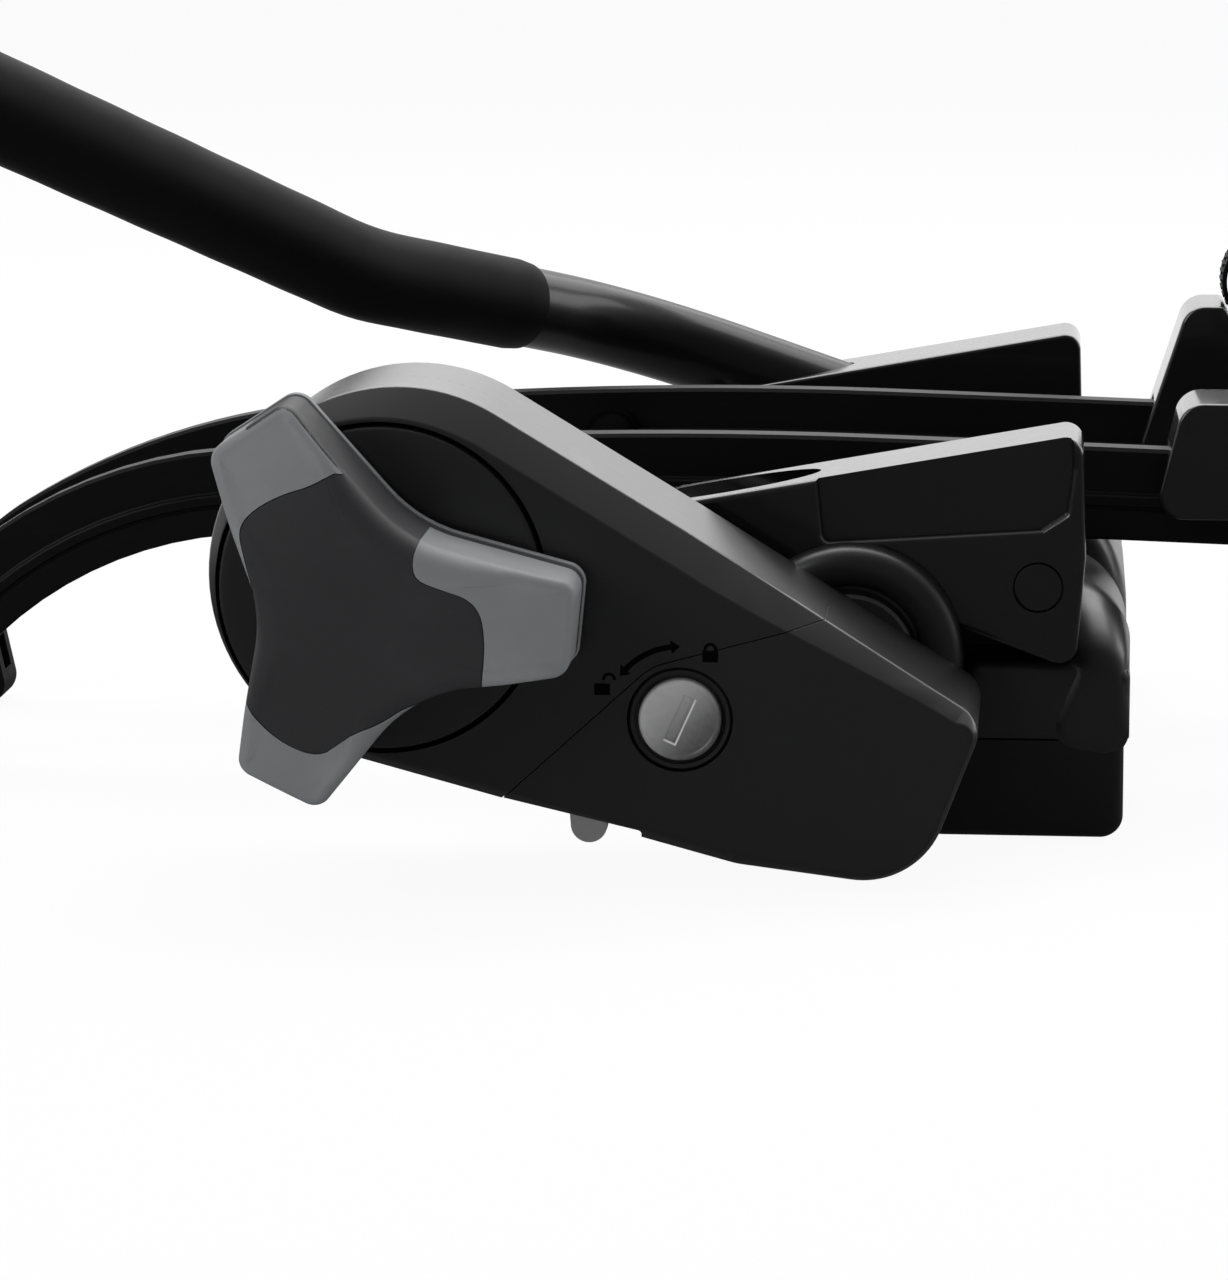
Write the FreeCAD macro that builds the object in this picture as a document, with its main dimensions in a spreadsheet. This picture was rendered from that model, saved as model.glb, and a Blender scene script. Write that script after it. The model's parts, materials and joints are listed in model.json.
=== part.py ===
import FreeCAD, Part
import math
import os
import re
import Sketcher

# Hub of a folding bicycle carrier, in millimetres.  X runs along the carrying arms, Y across the
# carrier (the reel side is -Y) and Z up.  Z = 0 is the flat underside, X = Y = 0 is below the
# middle of the axle that the arms and the reel module turn on.

doc = FreeCAD.newDocument("CarrierHub")
sheet = doc.addObject("Spreadsheet::Sheet", "Dims")

# Each round corner of an outline is three cells: centre (X, Z) and radius R.
circles = {
    "reelEnd": (-102.0, 72.3, 43.5),
    "upperEdge": (-52.0, 55.5, 32.0),
    "lockTop": (24.0, 37.4, 7.2),
    "lockEnd": (5.0, 22.5, 19.5),
    "belly": (-20.0, 26.0, 20.0),
    "blockToe": (-18.0, 8.0, 8.0),
    "blockHeel": (61.2, 5.5, 5.5),
    "blockLedge": (62.7, 39.2, 4.0),
    "saddle": (0.0, 46.0, 17.0),
    "wingToe": (31.0, 4.0, 4.0),
    "wingTop": (31.0, 39.2, 4.0),
    "coverLeft": (0.0, 50.0, 22.0),
    "coverRight": (36.0, 44.0, 30.6),
    "coverToe": (-16.0, 40.0, 6.0),
    "headLobe": (0.0, 46.0, 25.0),
    "headKnee": (20.0, 60.0, 5.0),
    "headLeft": (-40.0, 72.0, 10.0),
    "headTop": (50.5, 94.0, 4.3),
    "headSide": (51.0, 70.0, 4.6),
    "headToe": (49.5, 48.5, 4.5),
    "eye": (0.0, 46.0, 13.0),
    "eyeLeft": (-26.0, 70.0, 4.0),
    "eyeRight": (26.0, 69.0, 4.0),
    "bootHeel": (-256.0, 6.0, 6.0),
    "bootToe": (-242.0, 6.0, 6.0),
    "bootTop": (-249.0, 24.0, 9.0),
    "leverPin": (-60.0, 36.0, 6.0),
    "leverTip": (-95.5, 41.5, 2.0),
    "leverTab": (-59.7, 10.3, 4.3),
    "leverTail": (-50.0, 30.0, 2.5),
    "seamLock": (-36.7, 40.3, 13.5),
    "seamUpper": (10.0, 66.0, 1.0),
    "seamRight": (60.0, 60.0, 1.0),
    "seamLower": (60.0, -20.0, 1.0),
    "seamLeft": (-121.0, -20.0, 1.0),
    "nearLow": (80.0, 76.0, 6.0),
    "nearHigh": (84.5, 92.5, 6.5),
    "nearFarHigh": (122.0, 92.5, 6.5),
    "nearFarLow": (126.5, 76.0, 6.0),
    "farLow": (76.8, 76.0, 6.0),
    "farHigh": (87.0, 106.5, 6.5),
    "farFarHigh": (121.0, 106.5, 6.5),
    "farFarLow": (129.0, 76.0, 6.0),
    "screwTop": (-70.0, 88.0, 1.9),
    "screwReel": (-95.0, 109.0, 1.9),
    "screwLow": (-80.0, 27.5, 1.9),
    "screwLock": (12.0, 17.0, 1.9),
}

dims = {
    # reel module
    "shellBackY": -127.0, "shellFrontY": -152.0, "coverFrontY": -176.0, "wall": 3.0,
    "frontBevel": 3.0, "seamGap": 0.15, "dialFloor": 0.8, "screwR": 1.9, "screwHeadR": 4.0,
    "screwHeadT": 2.4, "screwLength": 21.0, "screwDriveT": 1.4, "bossR": 4.6, "outletX": -131.0,
    "outletZ": 78.0, "outletR": 5.0, "outletLipR": 7.5, "outletLipT": 3.0, "outletBore": 3.0,
    # knob, dial and shaft
    "knobX": -105.3, "knobZ": 69.8, "knobTurn": 0.6, "dialR": 37.6, "dialGap": 0.4, "dialT": 2.6,
    "dialFrontY": -176.8, "knobBackY": -180.0, "knobFrontY": -211.0, "knobHubR": 18.0,
    "tipReach": 43.6, "tipSpread": 9.5, "tipR": 4.2, "waistReach": 56.0, "waistR": 31.5,
    "gripStart": 31.0, "knobEdge": 3.0, "shaftR": 5.0, "shaftBackY": -128.0, "shaftFrontY": -200.0,
    "bushR": 7.0, "runFit": 0.04, "screwCapR": 6.5, "screwCapT": 2.8, "hexR": 2.6,
    # ratchet and drum
    "ratchetY": -146.5, "ratchetT": 7.0, "toothRootR": 24.5, "toothTipR": 27.0, "teeth": 24,
    "toothSpan": 324.0,
    "drumY": -133.5, "drumT": 12.5, "drumR": 14.0, "flangeR": 33.0, "flangeT": 2.0,
    "leverBackY": -148.0, "leverT": 4.0, "pinR": 2.5, "pinBackY": -129.0, "springR": 4.6, "lugWall": 2.0,
    "lugSetback": 5.0, "slotLeft": -67.0, "slotRight": -50.0, "slotTop": 26.0,
    # lock
    "lockX": -36.7, "lockZ": 40.3, "sleeveR": 12.0, "plugR": 9.1, "sleeveFrontY": -175.6,
    "sleeveBackY": -146.5, "plugFrontY": -176.9, "plugBackY": -158.0, "keySlotW": 2.6,
    "keySlotL": 10.0, "keySlotD": 8.0, "keyLean": 24.0, "boltLeft": -44.0, "boltRight": -28.0,
    "boltLow": 34.6, "boltHigh": 38.6, "boltBackY": -148.2, "boltT": 3.8,
    "boltFit": 0.08,
    # axle and pivot ring
    "pivotX": 0.0, "pivotZ": 46.0, "axleR": 6.0, "axleNearY": -142.0, "axleFarY": 128.0,
    "ringR": 27.0, "ringRound": 2.0, "ringY": -119.2, "pivotBossR": 9.8,
    "pivotBossY": -133.0, "washerR": 9.2, "washerT": 1.5, "nutR": 9.4, "nutT": 6.0,
    "sideGap": 0.1, "farCapR": 19.0, "farCapT": 11.0, "farCapWall": 2.0,
    # base
    "coreHalf": 89.0, "wingHalf": 112.0, "slotInner": 38.5, "slotOuter": 51.5, "slotEnd": 25.0,
    "coverHalf": 38.0, "padT": 2.0, "padLeft": 31.0, "padRight": 58.0, "padMargin": 5.0,
    "padFit": 0.4, "baseScrewX": 46.0, "baseScrewY": 40.0, "baseScrewR": 3.0,
    "baseScrewDeep": 16.0, "baseScrewHead": 5.5, "baseScrewHeadT": 2.0,
    # heads and support tube
    "headHalf": 119.0, "plugCapX": 44.4, "plugCapZ": 62.5, "plugCapR": 5.9, "plugCapT": 3.0,
    "plugCapProud": 0.6, "headBoltX": 13.0, "headBoltZ": 32.0, "headBoltR": 3.0,
    "headBoltLength": 44.0, "tubeR": 11.0, "tubeWall": 2.0, "tubeTilt": 19.0, "tubeEndX": 12.0,
    "tubeEndY": 104.0, "tubeEndZ": 69.1, "bendX": -70.4, "bendZ": 97.5, "bendR": 72.0,
    "riseX": -136.0, "riseY": 30.0, "riseZ": 120.4, "riseR": 110.0, "barX": -236.0,
    "barY": -104.0, "barZ": 187.0, "sleeveT": 1.6, "sleeveStartX": -99.0, "barCapR": 13.6,
    # arms
    "armY": 45.0, "armT": 8.0, "armH": 23.0, "beadT": 11.0, "beadH": 3.4, "armEndX": 330.0,
    "armEndZ": 66.5, "armSlope": 1.8, "armStraight": 330.0, "camberR": 1200.0, "camberTurn": 7.75,
    "curlR": 110.0, "curlTurn": 60.0, "armBushR": 9.0, "armFit": 0.05, "tieR": 7.0,
    "leftTieX": -70.0, "leftTieZ": 76.4, "rightTieX": 300.0, "rightTieZ": 67.44, "bootT": 17.0,
    "armCapT": 6.0, "armCapEdge": 2.0,
    # cradles
    "cradleHalf": 15.0, "cradleFit": 0.4, "seatX": 104.5, "seatZ": 106.0, "farSeatZ": 119.0,
    "seatR": 14.0, "strapT": 2.2, "strapHalf": 9.0, "cradlePitch": 130.0,
    # tools that pass right through
    "reach": 120.0, "through": 400.0,
}
for name, (x, z, r) in circles.items():
    dims.update({name + "X": x, name + "Z": z, name + "R": r})

for row, (alias, value) in enumerate(dims.items(), start=1):
    sheet.set("A%d" % row, alias)
    sheet.set("B%d" % row, repr(value))
    sheet.setAlias("B%d" % row, alias)
doc.recompute()

parts = {}
SAME = "([A-Za-z_][A-Za-z_0-9]*)"
FUNCTIONS = ("cos", "sin", "tan", "deg", "sqrt")


def bound(text):
    """An expression on sheet cells, written with bare names, as FreeCAD wants it."""
    return re.sub(SAME, lambda m: m[0] if m[0] in FUNCTIONS else "Dims." + m[0], str(text))


def number(text):
    return float(sheet.evalExpression(bound(text)))


def bind(obj, **cells):
    for key, text in cells.items():
        obj.setExpression(key.replace("_", "."), bound(text))
    return obj


def keep(obj, node):
    obj.Label = node
    parts[node] = obj
    return obj


def place(obj, x="0", y="0", z="0", axis=None, angle=None):
    bind(obj, Placement_Base_x=x, Placement_Base_y=y, Placement_Base_z=z)
    if axis:
        obj.Placement = FreeCAD.Placement(obj.Placement.Base, FreeCAD.Rotation(axis, number(angle)))
        bind(obj, Placement_Rotation_Angle=angle)
    return obj


# sketch and feature helpers

def newBody(name):
    return doc.addObject("PartDesign::Body", name)


def originPlane(body, role):
    return [f for f in body.Origin.OriginFeatures if f.Role == role][0]


def newSketch(body, name, role, offset=None):
    sketch = body.newObject("Sketcher::SketchObject", name)
    sketch.AttachmentSupport = [(originPlane(body, role), "")]
    sketch.MapMode = "FlatFace"
    if offset:
        bind(sketch, AttachmentOffset_Base_z=offset)
    return sketch


def fix(sketch, kind, *where, size):
    index = sketch.addConstraint(Sketcher.Constraint(kind, *where, number(size)))
    sketch.setExpression("Constraints[%d]" % index, bound(size))


def corner(name, grow="0"):
    return ("%sX" % name, "%sZ" % name, "%sR + %s" % (name, grow))


def wrap(sketch, corners):
    """Closed outline of arcs and common tangents round the corners, counter-clockwise.
    A corner is (x, y, radius); a negative radius is passed on its inner side."""
    data = [(number(x), number(y), number(r)) for x, y, r in corners]
    count = len(data)
    leave, arrive = [], []
    for i in range(count):
        (x0, y0, r0), (x1, y1, r1) = data[i], data[(i + 1) % count]
        span = math.hypot(x1 - x0, y1 - y0)
        normal = math.atan2(y1 - y0, x1 - x0) - math.pi / 2 + math.asin((r0 - r1) / span)
        step = (math.cos(normal), math.sin(normal))
        leave.append((x0 + r0 * step[0], y0 + r0 * step[1]))
        arrive.append((x1 + r1 * step[0], y1 + r1 * step[1]))
    flat = FreeCAD.Vector(0, 0, 1)
    for i, (x, y, r) in enumerate(data):
        centre = FreeCAD.Vector(x, y, 0)
        first = math.atan2(arrive[i - 1][1] - y, arrive[i - 1][0] - x)
        last = math.atan2(leave[i][1] - y, leave[i][0] - x)
        if r < 0:
            first, last = last, first
        if last < first:
            last += 2 * math.pi
        sketch.addGeometry(Part.ArcOfCircle(Part.Circle(centre, flat, abs(r)), first, last), False)
        sketch.addGeometry(Part.LineSegment(FreeCAD.Vector(*leave[i], 0),
                                            FreeCAD.Vector(*arrive[i], 0)), False)
    for i, (x, y, r) in enumerate(data):
        ahead = 2 * ((i + 1) % count)
        out = 2 if r > 0 else 1
        into = 1 if data[(i + 1) % count][2] > 0 else 2
        sketch.addConstraint(Sketcher.Constraint("Tangent", 2 * i, out, 2 * i + 1, 1))
        sketch.addConstraint(Sketcher.Constraint("Tangent", 2 * i + 1, 2, ahead, into))
    for i, (x, y, r) in enumerate(corners):
        fix(sketch, "DistanceX", -1, 1, 2 * i, 3, size=x)
        fix(sketch, "DistanceY", -1, 1, 2 * i, 3, size=y)
        fix(sketch, "Radius", 2 * i, size=r if data[i][2] > 0 else "-(%s)" % r)
    return sketch


def ring(sketch, x, y, r):
    index = sketch.addGeometry(Part.Circle(FreeCAD.Vector(number(x), number(y), 0),
                                           FreeCAD.Vector(0, 0, 1), number(r)), False)
    fix(sketch, "DistanceX", -1, 1, index, 3, size=x)
    fix(sketch, "DistanceY", -1, 1, index, 3, size=y)
    fix(sketch, "Radius", index, size=r)
    return sketch


def rectangle(sketch, left, right, low, high):
    x0, x1, y0, y1 = (number(v) for v in (left, right, low, high))
    spots = [FreeCAD.Vector(x, y, 0) for x, y in ((x0, y0), (x1, y0), (x1, y1), (x0, y1))]
    base = sketch.GeometryCount
    for i in range(4):
        sketch.addGeometry(Part.LineSegment(spots[i], spots[(i + 1) % 4]), False)
    for i in range(4):
        sketch.addConstraint(Sketcher.Constraint("Coincident", base + i, 2, base + (i + 1) % 4, 1))
    for i, kind in enumerate(("Horizontal", "Vertical", "Horizontal", "Vertical")):
        sketch.addConstraint(Sketcher.Constraint(kind, base + i))
    fix(sketch, "DistanceX", -1, 1, base, 1, size=left)
    fix(sketch, "DistanceX", -1, 1, base + 1, 1, size=right)
    fix(sketch, "DistanceY", -1, 1, base, 1, size=low)
    fix(sketch, "DistanceY", -1, 1, base + 2, 1, size=high)
    return sketch


def pad(body, sketch, length, midplane=False):
    """Pads go towards -Y from an XZ sketch; a midplane pad grows both ways."""
    feature = body.newObject("PartDesign::Pad", sketch.Name + "Pad")
    feature.Profile = sketch
    feature.Midplane = midplane
    bind(feature, Length=length)
    sketch.Visibility = False
    doc.recompute()
    return feature


def pocket(body, sketch, length, midplane=False):
    before = body.Shape.Volume
    feature = body.newObject("PartDesign::Pocket", sketch.Name + "Pocket")
    feature.Profile = sketch
    feature.Midplane = midplane
    feature.Reversed = not midplane
    bind(feature, Length=length)
    doc.recompute()
    if body.Shape.Volume >= before - 1e-6:
        raise RuntimeError("%s cuts nothing" % feature.Name)
    return feature


def slab(name, corners, length, backY):
    """A body padded from a wrapped outline on the XZ plane, its back face at Y = backY."""
    body = newBody(name)
    pad(body, wrap(newSketch(body, name + "Outline", "XZ_Plane"), corners), length)
    return place(body, y=backY)


def midSlab(name, corners, length, midY):
    body = newBody(name)
    pad(body, wrap(newSketch(body, name + "Outline", "XZ_Plane"), corners), length, True)
    return place(body, y=midY)


def rod(name, x, z, backY, length, radius):
    """A cylinder along -Y whose back end is at Y = backY."""
    obj = doc.addObject("Part::Cylinder", name)
    bind(obj, Radius=radius, Height=length)
    obj.Placement.Rotation = FreeCAD.Rotation(FreeCAD.Vector(1, 0, 0), 90)
    return place(obj, x, backY, z)


def block(name, x, y, z, dx, dy, dz):
    obj = doc.addObject("Part::Box", name)
    bind(obj, Length=dx, Width=dy, Height=dz)
    return place(obj, x, y, z)


def cut(name, base, tool):
    obj = doc.addObject("Part::Cut", name)
    obj.Base = base
    obj.Tool = tool
    doc.recompute()
    return obj


def cutAll(name, base, *tools):
    for i, tool in enumerate(tools):
        base = cut("%sStep%d" % (name, i + 1), base, tool)
    return base


def common(name, one, other):
    obj = doc.addObject("Part::Common", name)
    obj.Base = one
    obj.Tool = other
    doc.recompute()
    return obj


def fuse(name, *pieces):
    obj = doc.addObject("Part::MultiFuse", name)
    obj.Shapes = list(pieces)
    doc.recompute()
    return obj


def group(name, *pieces):
    """Separate solids that share one node."""
    obj = doc.addObject("Part::Compound", name)
    obj.Links = list(pieces)
    doc.recompute()
    return obj


def tubeRod(name, x, z, backY, length, radius, bore):
    return cut(name, rod(name + "Outer", x, z, backY, length, radius),
               rod(name + "Bore", x, z, backY, length, bore))


def rimEdges(shape, y):
    """Numbers of the edges that lie in the plane Y = y."""
    found = []
    for i, edge in enumerate(shape.Edges, start=1):
        box = edge.BoundBox
        if abs(box.YMin - y) < 1e-3 and abs(box.YMax - y) < 1e-3:
            found.append(i)
    return found


def bevelRim(body, name, kind, localY, size):
    """Chamfer or fillet on every edge of a body's face at the given Y of its own frame."""
    tip = body.Tip
    feature = body.newObject("PartDesign::" + kind, name)
    feature.Base = (tip, ["Edge%d" % i for i in rimEdges(tip.Shape, localY)])
    bind(feature, **{"Size" if kind == "Chamfer" else "Radius": size})
    doc.recompute()
    return feature


# reel module: covers and rear shell

housing = ("lockEnd", "lockTop", "upperEdge", "reelEnd", "belly")
screws = ("screwTop", "screwReel", "screwLow", "screwLock")


def outline(grow="0"):
    return [corner(name, grow) for name in housing]


def frontTray():
    body = newBody("FrontTray")
    depth = "shellFrontY - coverFrontY"
    pad(body, wrap(newSketch(body, "TrayOutline", "XZ_Plane"), outline()), depth)
    bevelRim(body, "TrayBevel", "Chamfer", -number(depth), "frontBevel")
    pocket(body, wrap(newSketch(body, "TrayInside", "XZ_Plane"), outline("0 - wall")),
           depth + " - wall")
    dial = ring(newSketch(body, "DialSeat", "XZ_Plane", depth + " - wall + dialFloor"),
                "knobX", "knobZ", "dialR + dialGap")
    pocket(body, dial, "wall")
    hub = ring(newSketch(body, "ShaftHole", "XZ_Plane"), "knobX", "knobZ", "shaftR + 1")
    pocket(body, hub, depth + " + 1")
    lock = ring(newSketch(body, "LockHole", "XZ_Plane"), "lockX", "lockZ", "sleeveR")
    pocket(body, lock, depth + " + 1")
    return place(body, y="shellFrontY")


def lockSide(name, grow):
    names = ("seamLeft", "seamLower", "seamRight", "seamUpper", "seamLock")
    return slab(name, [corner(c, grow) for c in names], "reach", "shellFrontY + reach / 2")


tray = frontTray()
keep(common("LockCover", tray, lockSide("LockRegion", "0 - seamGap")), "lock_cover")
keep(cut("ReelCover", tray, lockSide("ReelRegion", "seamGap")), "reel_cover")


def rearShell():
    body = newBody("RearShell")
    depth = "shellBackY - shellFrontY"
    pad(body, wrap(newSketch(body, "ShellOutline", "XZ_Plane"), outline()), depth)
    inside = wrap(newSketch(body, "ShellInside", "XZ_Plane", "wall"), outline("0 - wall"))
    pocket(body, inside, depth)
    boss = ring(newSketch(body, "PivotBoss", "XZ_Plane"), "pivotX", "pivotZ", "pivotBossR")
    pad(body, boss, "shellBackY - pivotBossY")
    bush = ring(newSketch(body, "BushBoss", "XZ_Plane"), "knobX", "knobZ", "bushR + 2")
    pad(body, bush, "shellBackY - drumY - 0.3")
    lug = ring(newSketch(body, "PinLug", "XZ_Plane"), "leverPinX", "leverPinZ",
               "pinR + lugWall")
    pad(body, lug, "shellBackY - leverBackY - lugSetback")
    for name in screws:
        boss = ring(newSketch(body, name + "Boss", "XZ_Plane"), name + "X", name + "Z", "bossR")
        pad(body, boss, depth)
    axle = ring(newSketch(body, "AxleBore", "XZ_Plane"), "pivotX", "pivotZ", "axleR + runFit")
    pocket(body, axle, depth)
    bore = ring(newSketch(body, "BushBore", "XZ_Plane"), "knobX", "knobZ", "bushR")
    pocket(body, bore, depth)
    pin = ring(newSketch(body, "PinBore", "XZ_Plane", "shellBackY - pinBackY"),
               "leverPinX", "leverPinZ", "pinR")
    pocket(body, pin, depth)
    for name in screws:
        bore = ring(newSketch(body, name + "Bore", "XZ_Plane"), name + "X", name + "Z", name + "R")
        pocket(body, bore, depth)
    outlet = ring(newSketch(body, "OutletBore", "XZ_Plane"), "outletX", "outletZ", "outletR")
    pocket(body, outlet, "wall + 1")
    slot = rectangle(newSketch(body, "LeverSlot", "XZ_Plane", "shellBackY - leverBackY - 0.5"),
                     "slotLeft", "slotRight", "0", "slotTop")
    pocket(body, slot, "leverT + 3")
    return place(body, y="shellBackY")


shell = keep(rearShell(), "rear_shell")

grommet = fuse("Grommet",
               rod("GrommetCollar", "outletX", "outletZ", "shellBackY", "wall", "outletR"),
               rod("GrommetLip", "outletX", "outletZ", "shellBackY + outletLipT", "outletLipT",
                   "outletLipR"))
grommetHole = rod("GrommetHole", "outletX", "outletZ", "shellBackY + outletLipT", "reach",
                  "outletBore")
keep(cut("OutletGrommet", grommet, grommetHole), "outlet_grommet")


def screw(name):
    x, z = name + "X", name + "Z"
    shank = rod(name + "Shank", x, z, "shellBackY", "screwLength", "screwR")
    top = rod(name + "Top", x, z, "shellBackY + screwHeadT", "screwHeadT", "screwHeadR")
    drive = rod(name + "Drive", x, z, "shellBackY + screwHeadT", "screwDriveT", "screwR")
    return cut(name + "Solid", fuse(name + "Blank", shank, top), drive)


keep(group("ShellScrews", *(screw(name) for name in screws)), "shell_screws")

# pivot ring between the shell and the near head
pivotRing = newBody("PivotRing")
pad(pivotRing, ring(newSketch(pivotRing, "RingDisc", "XZ_Plane"), "pivotX", "pivotZ", "ringR"),
    "ringY - shellBackY")
bevelRim(pivotRing, "RingRound", "Fillet", 0.0, "ringRound")
bore = ring(newSketch(pivotRing, "RingBore", "XZ_Plane"), "pivotX", "pivotZ", "axleR + runFit")
pocket(pivotRing, bore, "reach")
keep(place(pivotRing, y="ringY"), "pivot_ring")

# knob, dial, shaft, ratchet and drum


def polar(reach, turn):
    return ("%s * cos((%s) * 1 deg)" % (reach, turn), "%s * sin((%s) * 1 deg)" % (reach, turn))


def knobCorners():
    corners = []
    for lobe in range(3):
        turn = 120 * lobe
        for side in ("-", "+"):
            corners.append((*polar("tipReach", "%d %s tipSpread" % (turn, side)), "tipR"))
        corners.append((*polar("waistReach", "%d + 60" % turn), "0 - waistR"))
    return corners


def knobBlank():
    body = newBody("KnobBlank")
    depth = "knobBackY - knobFrontY"
    pad(body, wrap(newSketch(body, "LobeOutline", "XZ_Plane"), knobCorners()), depth)
    bevelRim(body, "KnobRound", "Fillet", -number(depth), "knobEdge")
    return place(body, "knobX", "knobBackY", "knobZ", FreeCAD.Vector(0, -1, 0), "knobTurn")


knob = knobBlank()
inner = rod("KnobInner", "knobX", "knobZ", "knobBackY", "reach", "gripStart")
neck = rod("KnobNeck", "knobX", "knobZ", "dialFrontY", "knobBackY * -1 + dialFrontY", "knobHubR")
core = fuse("KnobCoreSolid", common("KnobCoreFlat", knob, inner), neck)
shaftRoom = rod("ShaftRoom", "knobX", "knobZ", "dialFrontY + 1",
                "dialFrontY + 1 - shaftFrontY", "shaftR")
keep(cut("KnobCore", core, shaftRoom), "knob_core")
tips = cut("KnobTips", knob, inner)
for lobe in range(3):
    sector = doc.addObject("Part::Box", "Sector%d" % lobe)
    bind(sector, Length="reach", Width="reach", Height="2 * tipReach")
    turn = FreeCAD.Rotation(FreeCAD.Vector(0, -1, 0), dims["knobTurn"] + 120 * lobe)
    foot = turn.multVec(FreeCAD.Vector(dims["knobHubR"], 0, -dims["tipReach"]))
    sector.Placement = FreeCAD.Placement(
        FreeCAD.Vector(dims["knobX"], -2 * dims["reach"], dims["knobZ"]) + foot, turn)
    keep(common("KnobGrip%d" % (lobe + 1), tips, sector), "knob_grip_%d" % (lobe + 1))

keep(tubeRod("DialDisc", "knobX", "knobZ", "dialFrontY + dialT", "dialT", "dialR", "shaftR"),
     "dial_disc")
keep(rod("KnobShaft", "knobX", "knobZ", "shaftBackY", "shaftBackY - shaftFrontY", "shaftR"),
     "knob_shaft")
keep(tubeRod("ShaftBush", "knobX", "knobZ", "shellBackY - 0.4", "6.1", "bushR", "shaftR + runFit"),
     "shaft_bush")
cap = rod("ShaftScrewCap", "knobX", "knobZ", "shaftBackY + 1.1 + screwCapT", "screwCapT",
          "screwCapR")
stem = rod("ShaftScrewStem", "knobX", "knobZ", "shaftBackY + 1.1", "1.1", "hexR")
keep(cut("ShaftScrew", fuse("ShaftScrewSolid", cap, stem),
         rod("ShaftScrewDrive", "knobX", "knobZ", "shaftBackY + 6", "3", "hexR")), "shaft_screw")


def ratchetWheel():
    body = newBody("RatchetWheel")
    disc = ring(newSketch(body, "WheelDisc", "XZ_Plane"), "0", "0", "toothRootR")
    pad(body, disc, "ratchetT")
    tooth = newSketch(body, "Tooth", "XZ_Plane")
    step = math.radians(dims["toothSpan"] / dims["teeth"])
    root, tip = dims["toothRootR"] - 0.5, dims["toothTipR"]
    spots = [(root, 0.0), (tip, 0.0), (root * math.cos(step), root * math.sin(step))]
    spots = [FreeCAD.Vector(x, y, 0) for x, y in spots]
    for i in range(3):
        tooth.addGeometry(Part.LineSegment(spots[i], spots[(i + 1) % 3]), False)
    for i in range(3):
        tooth.addConstraint(Sketcher.Constraint("Coincident", i, 2, (i + 1) % 3, 1))
    for i, (x, y) in enumerate((("toothRootR - 0.5", "0"), ("toothTipR", "0"),
                                polar("(toothRootR - 0.5)", "toothSpan / teeth"))):
        fix(tooth, "DistanceX", -1, 1, i, 1, size=x)
        fix(tooth, "DistanceY", -1, 1, i, 1, size=y)
    first = pad(body, tooth, "ratchetT")
    pattern = body.newObject("PartDesign::PolarPattern", "Teeth")
    pattern.Originals = [first]
    pattern.Axis = (originPlane(body, "Y_Axis"), [""])
    pattern.Angle = 360
    bind(pattern, Occurrences="teeth")
    body.Tip = pattern
    doc.recompute()
    bore = ring(newSketch(body, "WheelBore", "XZ_Plane"), "0", "0", "shaftR")
    pocket(body, bore, "ratchetT + 1")
    return place(body, "knobX", "ratchetY", "knobZ")


keep(ratchetWheel(), "ratchet_wheel")

drum = fuse("DrumSolid",
            rod("DrumCore", "knobX", "knobZ", "drumY", "drumT", "drumR"),
            rod("DrumBackFlange", "knobX", "knobZ", "drumY", "flangeT", "flangeR"),
            rod("DrumFrontFlange", "knobX", "knobZ", "drumY - drumT + flangeT", "flangeT",
                "flangeR"))
keep(cut("CableDrum", drum, rod("DrumBore", "knobX", "knobZ", "drumY + 1", "drumT + 2", "shaftR")),
     "cable_drum")

# release lever, its pin and spring

pawl = slab("PawlArm", [corner("leverTip"), corner("leverPin")], "leverT", "leverBackY")
handle = slab("LeverHandle", [corner("leverTab"), corner("leverPin")], "leverT", "leverBackY")
tail = slab("LeverTail", [corner("leverTail"), corner("leverPin")], "leverT", "leverBackY")
lever = fuse("LeverSolid", pawl, handle, tail)
keep(cut("ReleaseLever", lever, rod("LeverBore", "leverPinX", "leverPinZ", "leverBackY + 1",
                                    "leverT + 2", "pinR + runFit")), "release_lever")
keep(rod("LeverPin", "leverPinX", "leverPinZ", "pinBackY", "pinBackY - leverBackY + leverT + 1.5",
         "pinR"), "lever_pin")
keep(tubeRod("LeverSpring", "leverPinX", "leverPinZ", "leverBackY + 5", "4.9", "springR",
             "pinR + 0.3"), "lever_spring")

# lock

sleeve = rod("SleeveSolid", "lockX", "lockZ", "sleeveBackY", "sleeveBackY - sleeveFrontY",
             "sleeveR")
plugRoom = rod("PlugRoom", "lockX", "lockZ", "plugBackY + 0.5", "reach", "plugR + runFit")
boltRoom = block("BoltRoom", "boltLeft - 20", "boltBackY - boltT - boltFit", "boltLow - boltFit",
                 "boltRight - boltLeft + 20.3", "boltT + 2 * boltFit",
                 "boltHigh - boltLow + 2 * boltFit")
keep(cutAll("LockSleeve", sleeve, plugRoom, boltRoom), "lock_sleeve")
plug = rod("PlugSolid", "lockX", "lockZ", "plugBackY", "plugBackY - plugFrontY", "plugR")
keySlot = doc.addObject("Part::Box", "KeySlot")
bind(keySlot, Length="keySlotW", Width="keySlotD", Height="keySlotL")
lean = FreeCAD.Rotation(FreeCAD.Vector(0, 1, 0), dims["keyLean"])
reach = lean.multVec(FreeCAD.Vector(-dims["keySlotW"] / 2, 0, -dims["keySlotL"] / 2))
keySlot.Placement = FreeCAD.Placement(
    FreeCAD.Vector(dims["lockX"], dims["plugFrontY"] - 1, dims["lockZ"]) + reach, lean)
keep(cut("LockPlug", plug, keySlot), "lock_plug")
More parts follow.
